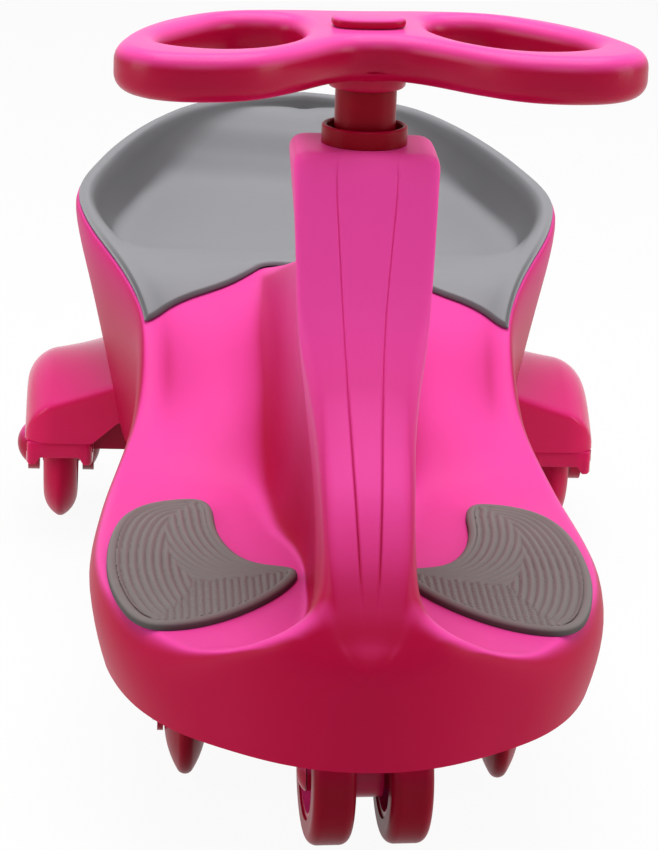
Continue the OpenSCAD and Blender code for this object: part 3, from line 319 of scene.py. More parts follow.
def moulded_plastic(name, clear, deep, rough, grain_depth=0.05, gloss=0.0, reach=(0.0, 0.85),
                    heights=FAR_ABOVE, shine=0.08):
    material, nodes, links, shader, grain = grained_shader(name)
    # Painted light and shade: clear is painted on faces that look up, deep on the others, with a random
    # pigment drift.
    shade_and_drift = nodes.new("ShaderNodeGroup")
    shade_and_drift.node_tree = PAINTED_LIGHT_AND_DRIFT
    preset(shade_and_drift, {"Lit Colour": (*clear, 1), "Shaded Colour": (*deep, 1), "From": reach[0], "To": reach[1],
                 "Low": heights[0], "High": heights[1]})
    bump = preset(nodes.new("ShaderNodeBump"), {"Strength": grain_depth, "Distance": GRAIN_DISTANCE})
    worn = preset(nodes.new("ShaderNodeMapRange"), {"To Min": rough - WEAR, "To Max": rough + WEAR})
    preset(shader, {"Specular IOR Level": shine, "Coat Weight": gloss, "Coat Roughness": COAT_ROUGH})
    wire(links, (grain, "Height", bump, "Height"), (grain, "Cloud", shade_and_drift, "Cloud"),
         (grain, "Cloud", worn, "Value"), (worn, "Result", shader, "Roughness"),
         (shade_and_drift, "Colour", shader, "Base Color"), (bump, "Normal", shader, "Normal"))
    return material


def bare_steel():
    material, nodes, links, shader, grain = grained_shader("bare_steel")
    preset(grain, {"Grain Scale": 350})
    tint = tint_ramp(nodes, (0.42, 0.43, 0.45), (0.66, 0.67, 0.69))
    worn = preset(nodes.new("ShaderNodeMapRange"), {"To Min": 0.22, "To Max": 0.42})
    preset(shader, {"Metallic": 1})
    wire(links, (grain, "Cloud", tint, "Fac"), (grain, "Height", worn, "Value"),
         (tint, "Color", shader, "Base Color"), (worn, "Result", shader, "Roughness"))
    return material


# In each plastic the first colour is painted on faces that look up, as light, and the second on the others,
# as shade.
FINISH = {
    "body_pink": moulded_plastic(
        "satin_pink", (0.86, 0.066, 0.37), (0.42, 0.002, 0.042), 0.42,
        reach=(0.42, 0.88), heights=(0.13, 0.28)),
    "gloss_pink": moulded_plastic(
        "gloss_pink", (0.92, 0.075, 0.40), (0.40, 0.002, 0.036), 0.30,
        gloss=0.04, reach=(0.10, 0.90), shine=0.12),
    "crimson_plastic": moulded_plastic(
        "fender_crimson", (0.78, 0.026, 0.22), (0.62, 0.003, 0.085), 0.24,
        gloss=0.06, reach=(0.10, 0.95), shine=0.15),
    "crimson_tyre": moulded_plastic(
        "tyre_crimson", (0.50, 0.008, 0.070), (0.27, 0.002, 0.018), 0.36, grain_depth=0.12),
    # Painted light: the rear tyres are the same plastic as the front ones, and this lighter copy paints the
    # light falling on them.
    "rear_tyre": moulded_plastic(
        "rear_tyre_crimson", (0.66, 0.010, 0.10), (0.50, 0.003, 0.055), 0.36, grain_depth=0.12),
    "crimson_tube": moulded_plastic(
        "tube_crimson", (0.36, 0.002, 0.030), (0.24, 0.001, 0.010), 0.34),
    "seat_grey": moulded_plastic(
        "seat_grey", (0.28, 0.28, 0.295), (0.125, 0.123, 0.13), 0.5,
        grain_depth=0.12, reach=(0.52, 0.98)),
    "pad_grey": moulded_plastic(
        "pad_grey", (0.215, 0.19, 0.185), (0.075, 0.066, 0.064), 0.62, grain_depth=0.2),
    "bare_steel": bare_steel(),
}
print("finishes:", ", ".join(FINISH))

# %% [markdown]
# The body is one big blow moulding: a deck for the feet, an upright post for the steering, and a bucket
# for the seat. Boat builders draw such a shape with lines that run along its length, and that is done
# here. Each line has a few places, from -1 at the nose to 1 at the back, and a half-width or height at
# each. The sizes below are those of the solid part.

# %% Sizes of the body
BODY_LEN, LINER_GAP, LINER_T, RIM_BACK = 778, 0.95, 3, 9
DECK, WAIST, SEAT, POST = 131, 108, 150, 36
LIP_Z, DECK_Z, TOP_Z, CUSP_Z, SIDE_Z, BACK_Z, HUMP_Z, PAN_Z = 75, 115, 334, 175, 210, 238, 196, 182
STEER_Y, WALL = 215, 6.5
BACK_OVER = LINER_GAP + LINER_T - RIM_BACK / 2
HALF_LEN = (BODY_LEN - BACK_OVER) / 2
MID_Y = -BACK_OVER / 2
CUSP, HUMP, BACK_LEAN, LEAN_START, RIM_TURN = 0.087, 0.21, 0.53, 0.45, 0.78


def post_at(widths):
    """Place so many half-widths of the post ahead of the steering axis."""
    return -(STEER_Y + widths * POST + MID_Y) / HALF_LEN


def between(low, high):
    """A function that gives the height at a share of the way from low to high."""
    return lambda share: low + share * (high - low)


up, saddle, back = between(DECK_Z, TOP_Z), between(HUMP_Z, TOP_Z), between(PAN_Z, BACK_Z)
side, rise = between(CUSP_Z, SIDE_Z), between(SIDE_Z, BACK_Z)
print("body half length", round(HALF_LEN, 1), "mm")

# %% [markdown]
# Eleven lines make the skin: lip, bulge and edge on the outside, then deck, foot, wall, neck and shoulder
# over the top to the strip in the middle. A half-width is a share of the deck's, the waist's, the seat's
# or the post's. Near the nose the lines make a round arch, so that the apron runs up into the front of the
# post without a ridge.

# %% Lines of the body
def width_line(places, *runs):
    """Places and widths, in runs of shares of one size each, with nothing at the nose and the back."""
    widths = [share * size for size, shares in runs for share in shares]
    return (-1, *places, 1), (0, *widths, 0)


HULL_AT = (-0.985, -0.938, -0.869, -0.786, -0.696, -0.62, -0.5, -0.25, 0.06, 0.443, 0.67, 0.85, 0.95)
RIM_AT = (0, CUSP, 0.15, 0.22, 0.30, 0.37, 0.48, 0.67, 0.80, 0.89, 0.95, 0.985)
ARCH_AT = (-0.985, -0.951, -0.91, -0.869, -0.786, -0.69, post_at(0.17), post_at(-0.57), -0.4, -0.3,
           -0.13, 0, CUSP)
FOOT_AT = ARCH_AT + (0.15, 0.443, 0.67, 0.80, 0.89, 0.95)
NECK_AT = (-0.985, -0.951, -0.91, -0.869, -0.786, -0.72, post_at(1.11), post_at(0.69), post_at(-0.57),
           post_at(-1.09), -0.35, -0.2, 0, 0.15, 0.443, 0.67, 0.80, 0.89, 0.95)
WIDTHS = {
    "lip": width_line(
        HULL_AT, (DECK, (0.23, 0.46, 0.68, 0.82, 0.90, 0.935, 0.935, 0.90)),
        (WAIST, (0.93,)), (SEAT, (0.78, 0.73, 0.58, 0.35))),
    "bulge": width_line(
        HULL_AT, (DECK, (0.235, 0.47, 0.70, 0.86, 0.955, 0.99, 1.01, 0.97)),
        (WAIST, (1,)), (SEAT, (0.873, 0.81, 0.65, 0.39))),
    "edge": width_line(
        (-0.985, -0.951, -0.91, -0.82, -0.696, -0.62, -0.5, -0.25) + RIM_AT,
        (DECK, (0.21, 0.40, 0.54, 0.73, 0.89, 0.95, 0.98, 0.94)), (WAIST, (0.99, 0.99)),
        (SEAT, (0.752, 0.808, 0.888, 0.955, 1, 0.905, 0.79, 0.652, 0.473, 0.27))),
    "deck_out": width_line(
        (-0.985, -0.951, -0.91, -0.82, -0.62, -0.5, -0.25) + RIM_AT,
        (DECK, (0.18, 0.345, 0.475, 0.66, 0.88, 0.90, 0.84)), (WAIST, (0.88, 0.92)),
        (SEAT, (0.697, 0.747, 0.823, 0.885, 0.93, 0.845, 0.73, 0.597, 0.427, 0.23))),
    "deck_in": width_line(
        ARCH_AT + (0.15, 0.30, 0.48, 0.67, 0.80, 0.89, 0.95),
        (POST, (0.52, 0.97, 1.2, 1.22, 1.10, 0.86, 0.76, 0.90)), (DECK, (0.38, 0.46)),
        (WAIST, (0.70, 0.78, 0.78)), (SEAT, (0.605, 0.77, 0.885, 0.80, 0.69, 0.56, 0.39))),
    "foot": width_line(
        FOOT_AT, (POST, (0.45, 0.75, 0.82, 0.76, 0.62, 0.54, 0.53, 0.58)), (DECK, (0.23, 0.26)),
        (WAIST, (0.39, 0.46, 0.51)), (SEAT, (0.415, 0.82, 0.745, 0.625, 0.485, 0.335))),
    "wall": width_line(
        FOOT_AT, (POST, (0.38, 0.62, 0.66, 0.64, 0.60, 0.57, 0.57, 0.60)), (DECK, (0.195, 0.22)),
        (WAIST, (0.287, 0.333, 0.37)), (SEAT, (0.30, 0.66, 0.61, 0.51, 0.39, 0.26))),
    "neck": width_line(
        NECK_AT, (POST, (0.30, 0.52, 0.60, 0.62, 0.65, 0.72, 0.89, 0.97, 0.97, 0.86, 0.74)),
        (WAIST, (0.27, 0.29, 0.33)), (SEAT, (0.40, 0.37, 0.31, 0.245, 0.16))),
    "shoulder": width_line(
        NECK_AT, (POST, (0.24, 0.44, 0.55, 0.60, 0.67, 0.78, 0.96, 1.01, 1.01, 0.89, 0.64)),
        (WAIST, (0.205, 0.215, 0.225)), (SEAT, (0.24, 0.22, 0.18, 0.14, 0.095))),
    "strip": width_line(
        (-0.985, -0.938, -0.869, -0.786, -0.69, post_at(0.69), post_at(-0.57), -0.4, -0.2, 0.15, 0.443,
         0.80), (POST, (0.11, 0.19, 0.24, 0.30, 0.38, 0.48, 0.48, 0.32)),
        (WAIST, (0.08, 0.10)), (SEAT, (0.10, 0.08))),
}
SHEER = [(-1, up(-0.02)), (-0.985, up(0.02)), (-0.97, up(0.045)), (-0.951, up(0.045)), (-0.91, up(0.02)),
         (-0.84, DECK_Z), (-0.26, DECK_Z), (-0.08, up(0.09)), (CUSP, CUSP_Z), (0.22, side(0.45)),
         (0.443, SIDE_Z), (0.57, rise(0.20)), (0.70, rise(0.34)), (0.80, rise(0.48)), (0.89, rise(0.68)),
         (0.94, rise(0.85)), (1, BACK_Z)]
CROWN = [(-1, up(0.025)), (-0.985, up(0.09)), (-0.966, up(0.15)), (-0.93, up(0.245)), (-0.88, up(0.34)),
         (-0.80, up(0.45)), (-0.73, up(0.555)), (post_at(1.37), up(0.67)), (post_at(1.11), up(0.83)),
         (post_at(0.95), up(0.96)), (post_at(0.78), TOP_Z), (post_at(-0.62), TOP_Z),
         (post_at(-0.85), saddle(0.96)), (post_at(-1.09), saddle(0.86)), (post_at(-1.61), saddle(0.68)),
         (-0.32, saddle(0.52)), (-0.2, saddle(0.385)), (-0.08, saddle(0.26)), (0.03, saddle(0.165)),
         (0.14, saddle(0.065)), (HUMP, HUMP_Z), (0.32, back(0.14)), (0.45, back(0)), (0.60, back(0.01)),
         (0.74, back(0.05)), (0.81, back(0.14)), (0.87, back(0.36)), (0.93, back(0.64)),
         (0.975, back(0.79)), (1, back(0.83))]
BULGE_RISE = (-1, -0.5, 0.06, 0.443, 1), (0.45, 0.55, 0.50, 0.50, 0.50)
NOSE_AT, TAIL_AT = (-1, -0.985, -0.97, -0.951), (-0.13, 0, 0.09, 0.15, 0.443, 0.9, 1)
POST_AT = (post_at(1.3), post_at(0.9), post_at(-0.7), post_at(-1.4), -0.3)
RISES = {
    "deck_out": ((*NOSE_AT, -0.91, -0.86, 1), (0.25, 0.50, 0.45, 0.20, 0.05, 0, 0)),
    "deck_in": ((*NOSE_AT, -0.91, -0.85, -0.25, *TAIL_AT),
                (0.45, 0.72, 0.68, 0.40, 0.10, 0, 0, 0.10, 0.17, 0.25, 0.35, 0.48, 0.46, 0.3)),
    "foot": ((*NOSE_AT, -0.91, -0.86, -0.8, -0.27, *TAIL_AT),
             (0.60, 0.86, 0.82, 0.60, 0.24, 0.05, 0, 0, 0.20, 0.38, 0.45, 0.58, 0.92, 0.76, 0.5)),
    "wall": ((*NOSE_AT, -0.9, -0.8, -0.3, *TAIL_AT),
             (0.75, 0.93, 0.91, 0.77, 0.50, 0.40, 0.34, 0.40, 0.55, 0.62, 0.80, 1, 0.86, 0.68)),
    "neck": ((-1, -0.97, -0.95, -0.88, *POST_AT, *TAIL_AT),
             (0.86, 0.95, 0.88, 0.82, 0.80, 0.93, 0.93, 0.80, 0.78, 0.79, 0.81, 0.85, 0.92, 1, 0.93,
              0.82)),
    "shoulder": ((-1, -0.95, *POST_AT, 0.06, 0.443, 0.9, 1),
                 (0.94, 0.97, 0.97, 1, 1, 0.98, 0.98, 0.98, 1, 0.97, 0.92)),
}
print(len(WIDTHS), "width lines,", len(RISES), "rise lines")

# %% [markdown]
# Between its places a line is a smooth curve that never overshoots. It runs over the arc sine of the place,
# so that a width that falls to nothing at an end closes that end with a round curve. The lines are then
# faired a little, as with a drawing batten, because the eye catches every small change of curve in a gloss
# surface.

# %% Smooth lines
ANGLES = np.linspace(-90.0, 90.0, 2401)
OUTER = ("lip", "bulge", "edge", "deck_out")


def ramp(value):
    value = np.clip(value, 0.0, 1.0)
    return value * value * (3 - 2 * value)


def smooth_line(places, sizes):
    spots, sizes = np.degrees(np.arcsin(places)), np.array(sizes, float)
    slopes = np.diff(sizes) / np.diff(spots)
    tangents = np.concatenate(([slopes[0]], np.zeros(len(slopes) - 1), [slopes[-1]]))
    before, after = slopes[:-1], slopes[1:]
    same_way = before * after > 0
    tangents[1:-1][same_way] = 2 * before[same_way] * after[same_way] / (before + after)[same_way]
    k = np.clip(np.searchsorted(spots, ANGLES, side="right") - 1, 0, len(spots) - 2)
    h = spots[k + 1] - spots[k]
    u = (ANGLES - spots[k]) / h
    w = 1 - u
    return (sizes[k] * w * w * (1 + 2 * u) + tangents[k] * h * u * w * w
            + sizes[k + 1] * u * u * (3 - 2 * u) - tangents[k + 1] * h * u * u * w)


def faired(line, degrees):
    """A smooth line with each value spread over so many degrees, and less near the ends, which stay."""
    values = smooth_line(*line)
    step = ANGLES[1] - ANGLES[0]
    room = np.minimum(ANGLES + 90, 90 - ANGLES)
    reach = np.arange(-60, 61)
    out = values.copy()
    for i in range(1, len(values) - 1):
        wide = min(degrees, room[i] / 3) / step
        if wide > 0.3:
            near = np.clip(i + reach, 0, len(values) - 1)
            weight = np.exp(-0.5 * (reach / wide) ** 2)
            out[i] = (values[near] * weight).sum() / weight.sum()
    return out


LINES = {"width_" + n: faired(line, 2.0 if n in OUTER else 1.0) for n, line in WIDTHS.items()}
LINES.update({"rise_" + n: faired(line, 1.2) for n, line in RISES.items()})
LINES.update(sheer=faired(zip(*SHEER), 1.6), crown=faired(zip(*CROWN), 0.5))
LINES["bulge_rise"] = faired(BULGE_RISE, 2.0)


def line_at(name, place):
    return np.interp(np.degrees(np.arcsin(np.clip(place, -1, 1))), ANGLES, LINES[name])


print("lines faired:", len(LINES))

# %% [markdown]
# At each place the lines give eleven control points of a half cross-section. A curve that these points
# pull towards them is the skin, so close points make a tight edge and wide ones a soft sweep. The same
# routine gives a point at any place and any step across, which the seat liner needs later.

# %% Skin of the body
SPANS = 9
NEAR_ALONG, NEAR_ACROSS = 0.004, 0.02


def controls(place):
    place = np.asarray(place, float)
    edge_z, crown_z = line_at("sheer", place), line_at("crown", place)
    lean = BACK_LEAN * ramp((place - LEAN_START) / (1 - LEAN_START))
    y = MID_Y + place * HALF_LEN
    in_y = y - RIM_BACK * ramp((place - RIM_TURN) / (1 - RIM_TURN))
    over = crown_z - edge_z
    bulge_z = LIP_Z + line_at("bulge_rise", place) * (edge_z - LIP_Z)
    flat = np.zeros_like(place)
    points = [(line_at("width_lip", place), y - lean * (edge_z - LIP_Z), flat + LIP_Z),
              (line_at("width_bulge", place), y - lean * (edge_z - bulge_z), bulge_z),
              (line_at("width_edge", place), y, edge_z)]
    points += [(line_at("width_" + n, place), in_y, edge_z + line_at("rise_" + n, place) * over)
               for n in ("deck_out", "deck_in", "foot", "wall", "neck", "shoulder")]
    points += [(line_at("width_strip", place), in_y, crown_z), (flat, in_y, crown_z)]
    return np.stack([np.stack(p, -1) for p in points], -2)


def along_controls(points, step):
    """Points of the pulled curve, where step runs from 0 at the first control to SPANS at the last."""
    step = np.asarray(step, float)
    span = np.clip(np.floor(step).astype(int), 0, SPANS - 1)
    t = (step - span)[..., None]
    pick = lambda k: np.take_along_axis(points, k[..., None, None].repeat(3, -1), -2)[..., 0, :]
    b = pick(span + 1)
    a = np.where((span == 0)[..., None], pick(span), (pick(span) + b) / 2)
    c = np.where((span == SPANS - 1)[..., None], pick(span + 2), (b + pick(span + 2)) / 2)
    return a * (1 - t) ** 2 + b * 2 * t * (1 - t) + c * t * t


def skin(place, step):
    place, step = np.broadcast_arrays(np.asarray(place, float), np.asarray(step, float))
    return along_controls(controls(place), step)


def skin_normal(place, step):
    place, step = np.broadcast_arrays(np.asarray(place, float), np.asarray(step, float))
    angle = np.arcsin(np.clip(place, -1, 1))
    low = np.sin(np.maximum(angle - NEAR_ALONG, -math.pi / 2))
    high = np.sin(np.minimum(angle + NEAR_ALONG, math.pi / 2))
    along = skin(high, step) - skin(low, step)
    across = skin(place, np.minimum(step + NEAR_ACROSS, SPANS)) \
        - skin(place, np.maximum(step - NEAR_ACROSS, 0))
    normal = np.cross(along, across)
    return normal / np.maximum(np.linalg.norm(normal, axis=-1, keepdims=True), 1e-9)


print("post top at", np.round(skin(post_at(0), SPANS), 1))

# %% [markdown]
# These helpers turn grids and rings of points into a mesh object, join points that meet, and shade it
# smooth except at true corners. Every piece also says which body it rides on, which solid it stands for
# and its finish.

# %% Mesh helpers
MERGE = 2e-5


def add_faces(shape, points, faces):
    made = [shape.verts.new(p) for p in points]
    for face in faces:
        shape.faces.new([made[k] for k in face])


def new_mesh(name, shape):
    mesh = bpy.data.meshes.new(name)
    shape.to_mesh(mesh)
    shape.free()
    return mesh


def dress(piece, finish, body, stands_for, corner):
    """Gives a piece its finish and sharp corners, hangs it on the empty of its body and hides the solids
    that it stands for.
    """
    piece.data.materials.append(FINISH[finish])
    piece.data.polygons.foreach_set("use_smooth", [True] * len(piece.data.polygons))
    piece.data.set_sharp_from_angle(angle=math.radians(corner))
    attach(piece, body)
    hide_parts(*stands_for)
    print(piece.name, len(piece.data.vertices), "points,", len(piece.data.polygons), "faces")
    return piece


def mesh_piece(name, points, faces, finish, body, stands_for, corner):
    """A piece from points in millimetres and faces that number them."""
    shape = bmesh.new()
    add_faces(shape, (points * MM).tolist(), faces)
    bmesh.ops.remove_doubles(shape, verts=shape.verts, dist=MERGE)
    bmesh.ops.dissolve_degenerate(shape, edges=shape.edges, dist=MERGE)
    bmesh.ops.recalc_face_normals(shape, faces=shape.faces)
    return dress(new_object(name, new_mesh(name, shape)), finish, body, stands_for, corner)


def grid_faces(rows, columns, start=0, turned=False):
    firsts = [start + i * columns + j for i in range(rows - 1) for j in range(columns - 1)]
    faces = [(a, a + 1, a + columns + 1, a + columns) for a in firsts]
    return [face[::-1] for face in faces] if turned else faces


def side_faces(rows, columns, start):
    """Faces that join the side edges of two sheets, where the second sheet begins at start."""
    faces = []
    for j in (0, columns - 1):
        for i in range(rows - 1):
            a, b = i * columns + j, (i + 1) * columns + j
            faces.append((a, b, start + b, start + a))
    return faces


def ring_faces(rings, count, start=0, closed=False):
    """Faces between closed rings of so many points each, and from the last ring to the first if closed."""
    faces = []
    for i in range(rings if closed else rings - 1):
        a, b = start + i * count, start + (i + 1) % rings * count
        faces += [(a + j, a + (j + 1) % count, b + (j + 1) % count, b + j) for j in range(count)]
    return faces


def whole_rows(half):
    """Half rows from the right side to the middle, doubled to full rows from right to left."""
    other = half[:, -2::-1].copy()
    other[..., 0] *= -1
    return np.concatenate([half, other], 1)


print("mesh helpers ready")

# %% [markdown]
# The body's skin is a dense grid over the lines. The inside is a plainer grid, moved in by the wall, and
# both meet at the lower lip. Two fine grooves run down the front of the post, along the edges of a strip,
# so the grid has close columns there.

# %% Body
BODY_ROWS, BODY_STEPS, INNER_STEPS, BODY_CORNER = 330, 7, 2, 50
STRIP_HEIGHTS, STRIP_HALVES = [120, 150, 245, 265, 320], [2.5, 3.8, 9.3, 10.7, 14.8]
GROOVE_STEPS = np.array([4.0, 1.6, 0.7, 0.35, 0.0, -0.35, -0.7, -1.6])
GROOVE_DEPTH, GROOVE_HALF, STEPS_APART, LAST_STEP = 0.8, 0.7, 0.004, 0.96


def inner_controls(place):
    points = controls(place)
    crown_z = points[..., -1, 2]
    hull, post = 1 - WALL / DECK, 1 - WALL / POST
    deep = post + ramp((place + 0.1) / 0.3) * (hull - post)
    wide = points[..., 2, 0] > points[..., 1, 0]
    flank = np.where(wide, points[..., 1, 0] / np.maximum(points[..., 2, 0], 1e-6), 1)
    for j in range(points.shape[-2]):
        points[..., j, 0] *= (hull if j < 3 else deep) * (1 if j < 2 else flank)
        points[..., j, 1] *= 1 - WALL / HALF_LEN
        if j:
            points[..., j, 2] = np.minimum(points[..., j, 2], crown_z) - WALL
    return points


def strip_edge(place):
    """Half-width of the strip on the post's front, which narrows towards the nose."""
    return np.interp(line_at("crown", place), STRIP_HEIGHTS, STRIP_HALVES)


def body_steps(places):
    """Steps across for each row: even ones, then close ones on both sides of the strip's edge."""
    points = controls(places[:, 0])
    mid, pull = (points[:, 8, 0] + points[:, 9, 0]) / 2, points[:, 9, 0]
    width = np.clip(strip_edge(places) + GROOVE_STEPS[None, :], 0, None)
    t = np.linspace(0, 1, 401)[None, :]
    across = mid[:, None] * (1 - t) ** 2 + pull[:, None] * 2 * t * (1 - t)
    found = np.array([np.interp(-w, -row, t[0]) for w, row in zip(width, across)])
    order = np.arange(1, len(GROOVE_STEPS) + 1) * STEPS_APART
    found = np.maximum.accumulate(np.clip(found, order, LAST_STEP + order), axis=1)
    even = np.linspace(0, SPANS - 1, (SPANS - 1) * BODY_STEPS + 1)
    return np.concatenate([np.broadcast_to(even, (len(places), len(even))), SPANS - 1 + found,
                           np.full((len(places), 1), float(SPANS))], 1)


def strip_groove(place, points):
    """Depth in millimetres of the two fine grooves along the strip on the post's front."""
    off = np.abs(np.abs(points[..., 0]) - strip_edge(place))
    front = ramp((place + 0.975) / 0.06) * (1 - ramp((place - post_at(1.0)) / 0.02))
    return GROOVE_DEPTH * np.clip(1 - off / GROOVE_HALF, 0, 1) * front


def make_body():
    places = np.sin(np.radians(np.linspace(-90, 90, BODY_ROWS)))[:, None]
    steps = body_steps(places)
    outer = skin(places, steps)
    outer = outer - skin_normal(places, steps) * strip_groove(places, outer)[..., None]
    outer[:, -1, 0] = 0
    inner_steps = np.linspace(0, SPANS, SPANS * INNER_STEPS + 1)[None, :]
    flat_places, flat_steps = np.broadcast_arrays(places, inner_steps)
    inner = along_controls(inner_controls(flat_places.copy()), flat_steps)
    outer[0, :, 0] = outer[-1, :, 0] = inner[0, :, 0] = inner[-1, :, 0] = 0
    upper, lower = whole_rows(outer), whole_rows(inner)
    points = np.concatenate([upper.reshape(-1, 3), lower.reshape(-1, 3)])
    columns, under_columns, start = upper.shape[1], lower.shape[1], upper.shape[0] * upper.shape[1]
    faces = grid_faces(BODY_ROWS, columns) + grid_faces(BODY_ROWS, under_columns, start, True)
    for i in range(BODY_ROWS - 1):
        for top, under in ((0, 0), (columns - 1, under_columns - 1)):
            a, b = i * columns + top, (i + 1) * columns + top
            c, d = start + (i + 1) * under_columns + under, start + i * under_columns + under
            faces.append((a, b, c, d))
    return mesh_piece("body_moulding", points, faces, "body_pink", "body", ["body_shell"], BODY_CORNER)


body_moulding = make_body()

# %% [markdown]
# A round hole at the top of the post takes the collar. It is cut with a Boolean, as a drill would cut it.
# The drill is a cylinder of its own that is thrown away after the cut.

# %% Hole for the collar
HOLE_R, HOLE_DEPTH, HOLE_Z = 17.5, 50, TOP_Z - 14


def drill(piece, place, radius, depth):
    shape = bmesh.new()
    bmesh.ops.create_cone(shape, cap_ends=True, segments=96, radius1=radius, radius2=radius, depth=depth)
    mesh = new_mesh("drill", shape)
    tool = new_object("drill", mesh)
    tool.location = place
    cut = piece.modifiers.new("drill", "BOOLEAN")
    cut.operation, cut.object, cut.solver = "DIFFERENCE", tool, "EXACT"
    bpy.context.view_layer.update()
    done = bpy.data.meshes.new_from_object(piece.evaluated_get(bpy.context.evaluated_depsgraph_get()))
    piece.modifiers.clear()
    old, piece.data = piece.data, done
    bpy.data.meshes.remove(old)
    bpy.data.objects.remove(tool)
    bpy.data.meshes.remove(mesh)
    piece.data.set_sharp_from_angle(angle=math.radians(BODY_CORNER))
    print("drilled", piece.name, len(piece.data.polygons), "faces")


drill(body_moulding, (0, -STEER_Y * MM, HOLE_Z * MM), HOLE_R * MM, HOLE_DEPTH * MM)

# %% [markdown]
# The grey seat liner is a separate shell that clips over the rim of the bucket. It follows the body's own
# skin at a small gap, from the outside of the rim to the middle, so it is made from the same routine and
# can't cross the body. Its front edge runs from a tip at the waist up over the hump behind the post. The
# shell thins towards its edges, and a Bevel modifier rounds them.

# %% Seat liner
LINER_FIRST, LINER_ROWS, LINER_COLUMNS = 2, 150, 110
THIN, THIN_ROWS, THIN_COLUMNS, LINER_BEVEL = 0.3, 7, 6, 1.1


def liner_places(share, across):
    front = CUSP + (HUMP - CUSP) * across ** 1.6
    return 1 - (1 - front) * ((1 + np.cos(np.pi * share)) / 2) ** 1.2


def make_liner():
    steps = np.linspace(LINER_FIRST, SPANS, LINER_COLUMNS)[None, :]
    across = (steps - LINER_FIRST) / (SPANS - LINER_FIRST)
    places = liner_places(np.linspace(0, 1, LINER_ROWS)[:, None], across)
    base, normal = skin(places, steps), skin_normal(np.minimum(places, 0.9995), steps)
    normal[:, -1, 0] = normal[-1, :, 0] = 0
    normal /= np.linalg.norm(normal, axis=-1, keepdims=True)
    full = np.minimum(ramp(np.arange(LINER_ROWS) / THIN_ROWS)[:, None],
                      ramp(np.arange(LINER_COLUMNS) / THIN_COLUMNS)[None, :])
    thick = LINER_T * (THIN + (1 - THIN) * full)
    sheets = []
    for above in (thick, np.zeros_like(thick)):
        half = base + normal * (LINER_GAP + above)[..., None]
        half[:, -1, 0] = half[-1, :, 0] = 0
        sheets.append(whole_rows(half))
    rows, columns = sheets[0].shape[:2]
    start = rows * columns
    faces = grid_faces(rows, columns) + grid_faces(rows, columns, start, True)
    faces += [(j, j + 1, start + j + 1, start + j) for j in range(columns - 1)]
    faces += side_faces(rows, columns, start)
    points = np.concatenate([s.reshape(-1, 3) for s in sheets])
    piece = mesh_piece("seat_moulding", points, faces, "seat_grey", "body", ["seat_liner"], 40)
    soften = piece.modifiers.new("soft_edges", "BEVEL")
    soften.width, soften.segments, soften.limit_method = LINER_BEVEL * MM, 3, "ANGLE"
    soften.angle_limit = math.radians(50)


make_liner()

# %% [markdown]
# The steering wheel, the fenders and the pads have outlines that are smoothed from a few control points.
# An outline can also be moved inwards by a distance, which is how edges are rounded and borders drawn.

# %% Closed outlines
def evened(curve, rounds):
    for _ in range(rounds):
        curve = (np.roll(curve, 1, 0) + 2 * curve + np.roll(curve, -1, 0)) / 4
    return curve


def closed_curve(shares, scale, steps=12):
    points = np.array(shares, float) * scale
    before, after = np.roll(points, 1, 0), np.roll(points, -1, 0)
    t = (np.arange(steps) / steps)[None, :, None]
    a, b, c = ((before + points) / 2)[:, None], points[:, None], ((points + after) / 2)[:, None]
    return evened((a * (1 - t) ** 2 + b * 2 * t * (1 - t) + c * t * t).reshape(-1, 2), 10)


def moved_in(curve, distance):
    way = np.roll(curve, -1, 0) - np.roll(curve, 1, 0)
    way /= np.linalg.norm(way, axis=1, keepdims=True)
    area = np.sum(curve[:, 0] * np.roll(curve[:, 1], -1) - np.roll(curve[:, 0], -1) * curve[:, 1])
    return curve + math.copysign(1, area) * distance * np.c_[-way[:, 1], way[:, 0]]


print("outline helpers ready")

# %% [markdown]
# The steering wheel is a flat slab with two loops for the hands and a notch in front. Rings that step
# inwards as they rise round all the edges, and the flat faces between the last rings are filled. Where the
# rim is slim, the rings step in less. A flared sleeve below takes the column, and an oval button covers
# the hub.

# %% Steering wheel
STEER_TURN = math.radians(5)
WHEEL_HALF, WHEEL_TOP, WHEEL_T, WHEEL_EDGE = 123, 391, 23, 8.5
WHEEL_SHARES = [(0, 0.40), (0.30, 0.43), (0.60, 0.38), (0.85, 0.13), (1.00, -0.20), (1.055, -0.47),
                (0.88, -0.68), (0.54, -0.67), (0.33, -0.49), (0.13, -0.24), (0, -0.21)]
LOOP_SHARES = [(0.25, 0.05), (0.28, 0.25), (0.51, 0.28), (0.70, 0.04), (0.85, -0.17), (0.85, -0.38),
               (0.61, -0.49), (0.39, -0.36), (0.27, -0.12)]
SLEEVE = [(15.1, 5), (15.1, -5.6), (16, -6), (18, -6), (19, -5), (19.3, -2), (20.5, 1), (23, 3.5), (27, 5)]
SLIM_SHARE, ROUND = 0.46, np.linspace(0, 2 * np.pi, 96, endpoint=False)
BUTTON_HALVES, BUTTON_POWER, BUTTON_T, BUTTON_EDGE, BUTTON_GAP = (18, 11.5), 0.75, 4.8, 2.0, 0.2


